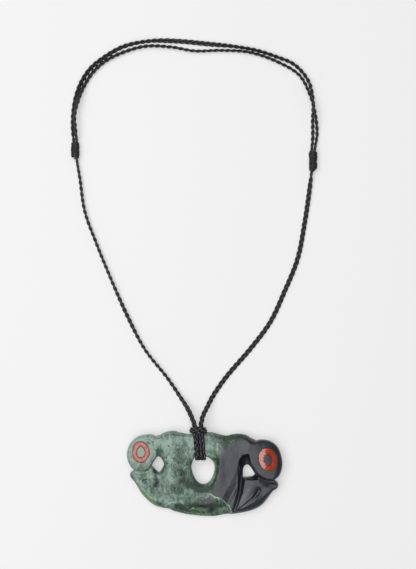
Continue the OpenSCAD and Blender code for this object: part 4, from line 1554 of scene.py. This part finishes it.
def smooth_line(points, step):
    """A curve through points with all their columns, evenly spaced, and the length so far."""
    p = np.asarray(points, float)
    gaps = np.linalg.norm(np.diff(p[:, :3], axis=0), axis=1) ** 0.5
    knots = np.concatenate([[0], np.cumsum(gaps)])
    before = 2 * p[0] - p[1]
    after = 2 * p[-1] - p[-2]
    q = np.vstack([before, p, after])
    k = np.concatenate([[-gaps[0]], knots, [knots[-1] + gaps[-1]]])

    def between(t, i, j, a, b):
        return (k[j] - t) / (k[j] - k[i]) * a + (t - k[i]) / (k[j] - k[i]) * b

    rows = []
    for i in range(1, len(q) - 2):
        for t in np.linspace(k[i], k[i + 1], 40, endpoint=False):
            a1 = between(t, i - 1, i, q[i - 1], q[i])
            a2 = between(t, i, i + 1, q[i], q[i + 1])
            a3 = between(t, i + 1, i + 2, q[i + 1], q[i + 2])
            b1 = between(t, i - 1, i + 1, a1, a2)
            b2 = between(t, i, i + 2, a2, a3)
            rows.append(between(t, i, i + 1, b1, b2))
    rows.append(q[-2])
    rows = np.array(rows)
    along = np.concatenate([[0], np.cumsum(np.linalg.norm(np.diff(rows[:, :3], axis=0), axis=1))])
    count = max(4, round(along[-1] / step))
    at = np.linspace(0, along[-1], count + 1)
    line = np.stack([np.interp(at, along, rows[:, c]) for c in range(rows.shape[1])], 1)
    return line, at


def whole_cord(step=0.0004):
    """The cord's line from its end in the right wrap to that in the left one, and the ends of its hitch."""
    left, left_faces = free_cord_rows(-1, LEFT_ROUTE)
    centres, faces = hitch_rows()
    right, right_faces = free_cord_rows(1, RIGHT_ROUTE)
    points = np.vstack([left[:0:-1], centres, right[1:]])
    facings = np.vstack([left_faces[:0:-1], faces, right_faces[1:]])
    line, along = smooth_line(np.hstack([points, facings]), step)
    middle = len(line) // 2
    first = np.linalg.norm(line[:middle, :3] - centres[0], axis=1).argmin()
    last = middle + np.linalg.norm(line[middle:, :3] - centres[-1], axis=1).argmin()
    return line, along, first, last


def path_object(name, line, along, rows=slice(None), swell=1.0):
    """Rows of a line with their side and upward directions, the length so far and a swell; its length."""
    centre, up = line[:, :3], line[:, 3:]
    way = np.gradient(centre, axis=0)
    way /= np.linalg.norm(way, axis=1)[:, None]
    up = up - way * (up * way).sum(1)[:, None]
    up /= np.linalg.norm(up, axis=1)[:, None]
    side = np.cross(up, way)
    centre, up, side, along = centre[rows], up[rows], side[rows], along[rows]
    from_end = np.minimum(along - along[0], along[-1] - along) * 1000
    swells = 1 + (swell - 1) * smooth_step(from_end, 2.0, 14.0)
    mesh = bpy.data.meshes.new(name)
    mesh.from_pydata([tuple(p) for p in centre], [(i, i + 1) for i in range(len(centre) - 1)], [])
    store(mesh, "side", "FLOAT_VECTOR", side)
    store(mesh, "up", "FLOAT_VECTOR", up)
    store(mesh, "along", "FLOAT", along)
    store(mesh, "swell", "FLOAT", swells)
    return added(name, mesh), along[-1] - along[0]


class NodeBench:
    """A geometry tree and the nodes that are added to it."""

    def __init__(self, name):
        self.tree = bpy.data.node_groups.new(name, "GeometryNodeTree")
        self.face = self.tree.interface
        self.face.new_socket("Geometry", in_out="OUTPUT", socket_type="NodeSocketGeometry")
        self.start = self.tree.nodes.new("NodeGroupInput")
        self.end = self.tree.nodes.new("NodeGroupOutput")

    def size(self, name, kind, default=None, low=None):
        made = self.face.new_socket(name, in_out="INPUT", socket_type=kind)
        if default is not None:
            made.default_value = default
        if low is not None:
            made.min_value = low
        return self.start.outputs[name]

    def node(self, kind, settings=None, inputs=None, out=0):
        made = self.tree.nodes.new(kind)
        for key, value in (settings or {}).items():
            setattr(made, key, value)
        for key, value in (inputs or {}).items():
            if isinstance(value, bpy.types.NodeSocket):
                self.tree.links.new(value, made.inputs[key])
            else:
                made.inputs[key].default_value = value
        return made.outputs[out]

    def math(self, operation, a, b=0.0):
        return self.node("ShaderNodeMath", {"operation": operation}, {0: a, 1: b})

    def scaled(self, vector, share):
        return self.node("ShaderNodeVectorMath", {"operation": "SCALE"}, {0: vector, "Scale": share})

    def named(self, name, kind):
        return self.node("GeometryNodeInputNamedAttribute", {"data_type": kind}, {"Name": name})

    def kept(self, geometry, name, kind, value):
        """Geometry with a value stored on its points."""
        settings = {"data_type": kind, "domain": "POINT"}
        sockets = {"Geometry": geometry, "Name": name, 3: value}
        return self.node("GeometryNodeStoreNamedAttribute", settings, sockets)


def strand_tree():
    """Strands that weave about a path, or one strand that follows it."""
    bench = NodeBench("woven_strands")
    path = bench.size("Path", "NodeSocketGeometry")
    sway = bench.size("Sway", "NodeSocketFloat", 0.0008)
    rise = bench.size("Rise", "NodeSocketFloat", 0.0004)
    repeat = bench.size("Repeat", "NodeSocketFloat", 0.0103, 0.0001)
    wide = bench.size("Strand width", "NodeSocketFloat", 0.0014)
    thick = bench.size("Strand thickness", "NodeSocketFloat", 0.0009)
    strands = bench.size("Strands", "NodeSocketInt", 3, 1)
    plies = bench.size("Threads", "NodeSocketInt", 6, 1)
    finish = bench.size("Finish", "NodeSocketMaterial")
    line = bench.node("GeometryNodeMeshToCurve", None, {"Mesh": path})
    copies = bench.node(
        "GeometryNodeDuplicateElements", {"domain": "SPLINE"}, {"Geometry": line, "Amount": strands}
    )
    number = copies.node.outputs["Duplicate Index"]
    along = bench.named("along", "FLOAT")
    lead = bench.math("DIVIDE", number, strands)
    turn = bench.math("MULTIPLY", bench.math("ADD", bench.math("DIVIDE", along, repeat), lead), math.tau)
    swell = bench.named("swell", "FLOAT")
    across = bench.math("MULTIPLY", bench.math("MULTIPLY", bench.math("SINE", turn), sway), swell)
    over = bench.math("MULTIPLY", bench.math("SINE", bench.math("MULTIPLY", turn, 2.0)), rise)
    side = bench.named("side", "FLOAT_VECTOR")
    up = bench.named("up", "FLOAT_VECTOR")
    offset = bench.node(
        "ShaderNodeVectorMath",
        {"operation": "ADD"},
        {0: bench.scaled(side, across), 1: bench.scaled(up, over)},
    )
    woven = bench.node("GeometryNodeSetPosition", None, {"Geometry": copies, "Offset": offset})
    woven = bench.node("GeometryNodeSetCurveRadius", None, {"Curve": woven, "Radius": swell})
    faced = bench.node("GeometryNodeSetCurveNormal", {"mode": "FREE"}, {"Curve": woven, "Normal": up})
    circle = {"Resolution": 12, "Radius": 0.5}
    ring = bench.node("GeometryNodeCurvePrimitiveCircle", {"mode": "RADIUS"}, circle)
    angle = bench.math(
        "MULTIPLY", bench.node("GeometryNodeSplineParameter"), bench.math("MULTIPLY", plies, math.tau)
    )
    ring = bench.kept(ring, "round_x", "FLOAT", bench.math("COSINE", angle))
    ring = bench.kept(ring, "round_y", "FLOAT", bench.math("SINE", angle))
    size = bench.node("ShaderNodeCombineXYZ", None, {0: thick, 1: wide, 2: 1.0})
    ring = bench.node("GeometryNodeTransform", None, {"Geometry": ring, "Scale": size})
    body = bench.node(
        "GeometryNodeCurveToMesh", None, {"Curve": faced, "Profile Curve": ring, "Fill Caps": True}
    )
    real = bench.node("GeometryNodeRealizeInstances", None, {"Geometry": body})
    dressed = bench.node("GeometryNodeSetMaterial", None, {"Geometry": real, "Material": finish})
    bench.tree.links.new(dressed, bench.end.inputs["Geometry"])
    return bench.tree


def woven(name, path, tree, sizes):
    """The path's strands as a plain mesh."""
    modifier = path.modifiers.new("strands", "NODES")
    modifier.node_group = tree
    for item in tree.interface.items_tree:
        if item.in_out == "INPUT" and item.name in sizes:
            modifier[item.identifier] = sizes[item.name]
    bpy.context.view_layer.update()
    graph = bpy.context.evaluated_depsgraph_get()
    mesh = bpy.data.meshes.new_from_object(path.evaluated_get(graph))
    path.modifiers.remove(modifier)
    mesh.name = name
    smoothed(mesh)
    bpy.data.objects.remove(path)
    return added(name, mesh)


def plait_sizes(settings, material):
    return {
        "Sway": (CORD_W * MM - settings.strand_width) / 2,
        "Rise": (CORD_T * MM - settings.strand_thick) / 2,
        "Repeat": settings.repeat,
        "Strand width": settings.strand_width,
        "Strand thickness": settings.strand_thick,
        "Strands": 3,
        "Threads": settings.threads,
        "Finish": material,
    }


def wound_rows(wrap, settings, leaves, tight):
    """Points and facings, in metres, of a thread that is wound round two cords.

    The lowest turns close round the one cord that leaves there, on the left (-1) or right (1)."""
    x, y0, y1 = wrap
    wide = (2 * CORD_T + 3 * CORD_GAP) / 2 + THREAD_OUT
    high = (CORD_W + 2 * CORD_GAP) / 2 + THREAD_OUT
    turns = round((y1 - y0) / 10 * settings.turns) + 1
    steps = 28
    a = np.arange(turns * steps + 1) / steps * math.tau
    share = a / a[-1]
    low = smooth_step(a / math.tau, 1.7, 0.5)
    last = smooth_step(turns - a / math.tau, 1.0, 0.0)
    swell = eased(share, *tight) + 0.035 * np.sin(a * 0.37 + x) + 0.03 * np.sin(a * 0.83)
    half_wide = wide * (1 - low) + (wide - BESIDE + 0.1) * low
    half_wide = (half_wide + THREAD_HALF) * swell - THREAD_HALF
    middle = x + leaves * (BESIDE - 0.1) * low
    half_high = (high + THREAD_HALF) * swell - THREAD_HALF
    c, s = np.cos(a), np.sin(a)
    u = np.copysign(np.abs(c) ** 0.5, c) * half_wide
    v = np.copysign(np.abs(s) ** 0.62, s) * half_high
    slant = 0.32 * low + 0.3 * last
    y = y0 - 0.1 + (y1 - y0 + 0.1) * share + slant * c * leaves + 0.05 * np.sin(a * 0.61 + 2)
    # both ends of the thread are tucked in below
    tucked = 1 - 0.35 * smooth_step(np.minimum(a, a[-1] - a), 0.9, 0.0)
    points = np.stack([middle + u * tucked, y, high + 0.25 + v * tucked], 1)
    facings = np.stack([c * half_high, 0 * c, s * half_wide], 1)
    return points * MM, facings


# ---------------------------------------------------------------------------------------------
# Operators, one for each group of pieces


class PENDANT_OT_set_stage(Operator):
    """Floor, soft light overhead and the camera"""

    bl_idname = "pendant.set_stage"
    bl_label = "Set the stage"

    def execute(self, context):
        settings = context.scene.pendant_stage
        scene = context.scene
        camera = added("photo_camera", bpy.data.cameras.new("photo_camera"))
        camera.data.lens = 100
        camera.data.sensor_width = 36
        camera.data.clip_end = 20
        camera.location = (1.92 * MM, 110.1 * MM, settings.camera_height)
        scene.camera = camera
        bench = Bench("pale_floor")
        glow = {"Emission_Color": (1, 1, 1), "Emission_Strength": settings.glow}
        floor_material = bench.finish(Base_Color=settings.floor, Roughness=0.9, **glow)
        size, drop = 6.0, -0.00005
        corners = [(-size, -size, drop), (size, -size, drop), (size, size, drop), (-size, size, drop)]
        floor = made_mesh("pale_floor", corners, [(0, 1, 2, 3)], floor_material)
        light = bpy.data.lights.new("softbox", "AREA")
        light.shape = "RECTANGLE"
        light.size = 1.47
        light.size_y = 1.75
        light.energy = settings.softbox
        lamp = added("softbox", light)
        lamp.location = (-0.46, 0.22, 1.2)
        world = bpy.data.worlds.new("studio")
        world.use_nodes = True
        sky = world.node_tree.nodes["Background"].inputs
        sky["Color"].default_value = (1, 1, 1, 1)
        sky["Strength"].default_value = settings.room
        scene.world = world
        scene.view_settings.view_transform = "Standard"
        return {"FINISHED"}


class PENDANT_OT_plait_cords(Operator):
    """The two free cords, each from the hitch over the neck end into the opposite wrap"""

    bl_idname = "pendant.plait_cords"
    bl_label = "Plait the cords"

    def execute(self, context):
        settings = context.scene.pendant_cord
        material = waxed_thread(settings, "waxed_plait", 0.02)
        tree = strand_tree()
        line, along, first, last = whole_cord()
        for side, name, route in ((-1, "left", LEFT_ROUTE), (1, "right", RIGHT_ROUTE)):
            points, _ = free_cord_rows(side, route)
            rows = slice(0, first + 1) if side < 0 else slice(last, None)
            path, long = path_object(name + "_path", line, along, rows)
            cord = woven(name + "_plait", path, tree, plait_sizes(settings, material))
            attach(cord, "root")
            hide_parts(name + "_cord")
        return {"FINISHED"}


class PENDANT_OT_tie_hitch(Operator):
    """The cow hitch that ties the doubled cord to the stone"""

    bl_idname = "pendant.tie_hitch"
    bl_label = "Tie the hitch"

    def execute(self, context):
        settings = context.scene.pendant_cord
        material = bpy.data.materials["waxed_plait"]
        line, along, first, last = whole_cord()
        path, _ = path_object("hitch_path", line, along, slice(first, last + 1), HITCH_SWELL)
        tree = bpy.data.node_groups["woven_strands"]
        hitch = woven("cord_hitch_plait", path, tree, plait_sizes(settings, material))
        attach(hitch, "root")
        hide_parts("cord_hitch")
        return {"FINISHED"}


class PENDANT_OT_wind_wraps(Operator):
    """The two sliding wraps of wound thread"""

    bl_idname = "pendant.wind_wraps"
    bl_label = "Wind the wraps"

    def execute(self, context):
        settings = context.scene.pendant_cord
        material = waxed_thread(settings, "wound_thread", 0.03, 0.4)
        tree = bpy.data.node_groups["woven_strands"]
        for name, wrap, leaves, tight in (
            ("left", LEFT_WRAP, 1, LEFT_TIGHT),
            ("right", RIGHT_WRAP, -1, RIGHT_TIGHT),
        ):
            points, facings = wound_rows(wrap, settings, leaves, tight)
            path, _ = path_object(name + "_winding", *smooth_line(np.hstack([points, facings]), 0.0003))
            sizes = {
                "Sway": 0.0,
                "Rise": 0.0,
                "Repeat": 0.01,
                "Strand width": THREAD_W * MM,
                "Strand thickness": THREAD_T * MM,
                "Strands": 1,
                "Threads": settings.threads,
                "Finish": material,
            }
            wound = woven(name + "_wound_wrap", path, tree, sizes)
            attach(wound, "root")
            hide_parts(name + "_sliding_wrap")
        return {"FINISHED"}


class PENDANT_OT_carve_stone(Operator):
    """The carved and polished greenstone"""

    bl_idname = "pendant.carve_stone"
    bl_label = "Carve the stone"

    def execute(self, context):
        settings = context.scene.pendant_stone
        stone = carve_stone(settings, nephrite(settings))
        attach(stone, "root")
        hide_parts("greenstone_body")
        return {"FINISHED"}


def eye_ring(name, eye, material, seed, phase, size):
    """A domed ring of wax between two worn ovals, closed all round, that follows the face of its disc."""
    carving = Carving()
    around = 240
    # share of the way from the inner oval to the outer one, height, and how far the lip reaches outwards
    section = [(0.02, -EYE_GROOVE, 0), (0, -0.4, 0), (0, 0, 0), (0, 0.02, -EYE_LIP), (0.03, 0.09, 0)]
    section += [(0.12, 0.17, 0), (0.25, 0.23, 0), (0.4, EYE_PROUD, 0), (0.6, EYE_PROUD, 0), (0.75, 0.23, 0)]
    section += [(0.88, 0.17, 0), (0.97, 0.09, 0), (1, 0.02, EYE_LIP), (1, 0, 0), (1, -0.4, 0)]
    section += [(0.98, -EYE_GROOVE, 0), (0.66, -EYE_GROOVE, 0), (0.33, -EYE_GROOVE, 0)]
    a = np.linspace(0, math.tau, around, endpoint=False)

    def oval(o, way):
        t = math.radians(o[4])
        more = worn(a, way, size)
        x, y = (o[2] + more) * np.cos(a), (o[3] + more) * np.sin(a)
        c, s = math.cos(t), math.sin(t)
        return np.stack([o[0] + x * c - y * s, o[1] + x * s + y * c], 1)

    outer, inner = oval(eye[0], phase), oval(eye[1], phase + 2)
    outwards = outer - inner
    outwards /= np.linalg.norm(outwards, axis=1)[:, None]
    rows = []
    bands = []
    for share, level, lip in section:
        bands.append(math.sin(math.pi * share))
        p = inner * (1 - share) + outer * share + outwards * lip
        x, y = p[:, 0], p[:, 1]
        z = carving.height(p, carving.measure(p)) + hand_polish(x, y) + level
        if level > 0.05:
            z = z + 0.05 * grain(x, y, 0.9, seed) + 0.03 * grain(x, y, 0.4, seed + 1)
        rows.append(np.column_stack([p, z]))
    points = np.stack(rows, 1).reshape(-1, 3)
    m = len(section)
    faces = []
    for i in range(around):
        for k in range(m):
            j, n = (i + 1) % around, (k + 1) % m
            faces.append((i * m + k, j * m + k, j * m + n, i * m + n))
    return made_mesh(name, lifted(points), faces, material, {"band": bands * around})


class PENDANT_OT_inlay_eyes(Operator):
    """The two wax rings in the eye discs"""

    bl_idname = "pendant.inlay_eyes"
    bl_label = "Inlay the eyes"

    def execute(self, context):
        settings = context.scene.pendant_eyes
        for name, eye, wear, colour, worn_colour, slot, seed in (
            ("left", LEFT_EYE, EYE_WORN[0], settings.pink, settings.pink_worn, "pink_wax", 11),
            ("right", RIGHT_EYE, EYE_WORN[1], settings.red, settings.red_worn, "red_wax", 23),
        ):
            material = wax(colour, worn_colour, name + "_ring_wax", eye, name == "right")
            ring = eye_ring(name + "_eye_ring", eye, material, seed, *wear)
            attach(ring, "root")
            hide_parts(name + "_eye_inlay")
        return {"FINISHED"}


STEPS = ("set_stage", "plait_cords", "tie_hitch", "wind_wraps", "carve_stone", "inlay_eyes")


class PENDANT_PT_parts(Panel):
    """The pieces of the pendant, in the order in which they are made"""

    bl_label = "Greenstone pendant"
    bl_idname = "PENDANT_PT_parts"
    bl_space_type = "VIEW_3D"
    bl_region_type = "UI"
    bl_category = "Pendant"

    def draw(self, context):
        for step in STEPS:
            self.layout.operator("pendant." + step)


CLASSES = (
    StoneSettings,
    EyeSettings,
    CordSettings,
    StageSettings,
    PENDANT_OT_set_stage,
    PENDANT_OT_plait_cords,
    PENDANT_OT_tie_hitch,
    PENDANT_OT_wind_wraps,
    PENDANT_OT_carve_stone,
    PENDANT_OT_inlay_eyes,
    PENDANT_PT_parts,
)
GROUPS = (
    ("pendant_stone", StoneSettings),
    ("pendant_eyes", EyeSettings),
    ("pendant_cord", CordSettings),
    ("pendant_stage", StageSettings),
)


def register():
    for made in CLASSES:
        bpy.utils.register_class(made)
    for name, group in GROUPS:
        setattr(bpy.types.Scene, name, PointerProperty(type=group))


def unregister():
    for name, _ in GROUPS:
        delattr(bpy.types.Scene, name)
    for made in reversed(CLASSES):
        bpy.utils.unregister_class(made)


def main():
    register()
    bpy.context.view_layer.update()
    for step in STEPS:
        getattr(bpy.ops.pendant, step)()


if __name__ == "__main__":
    main()
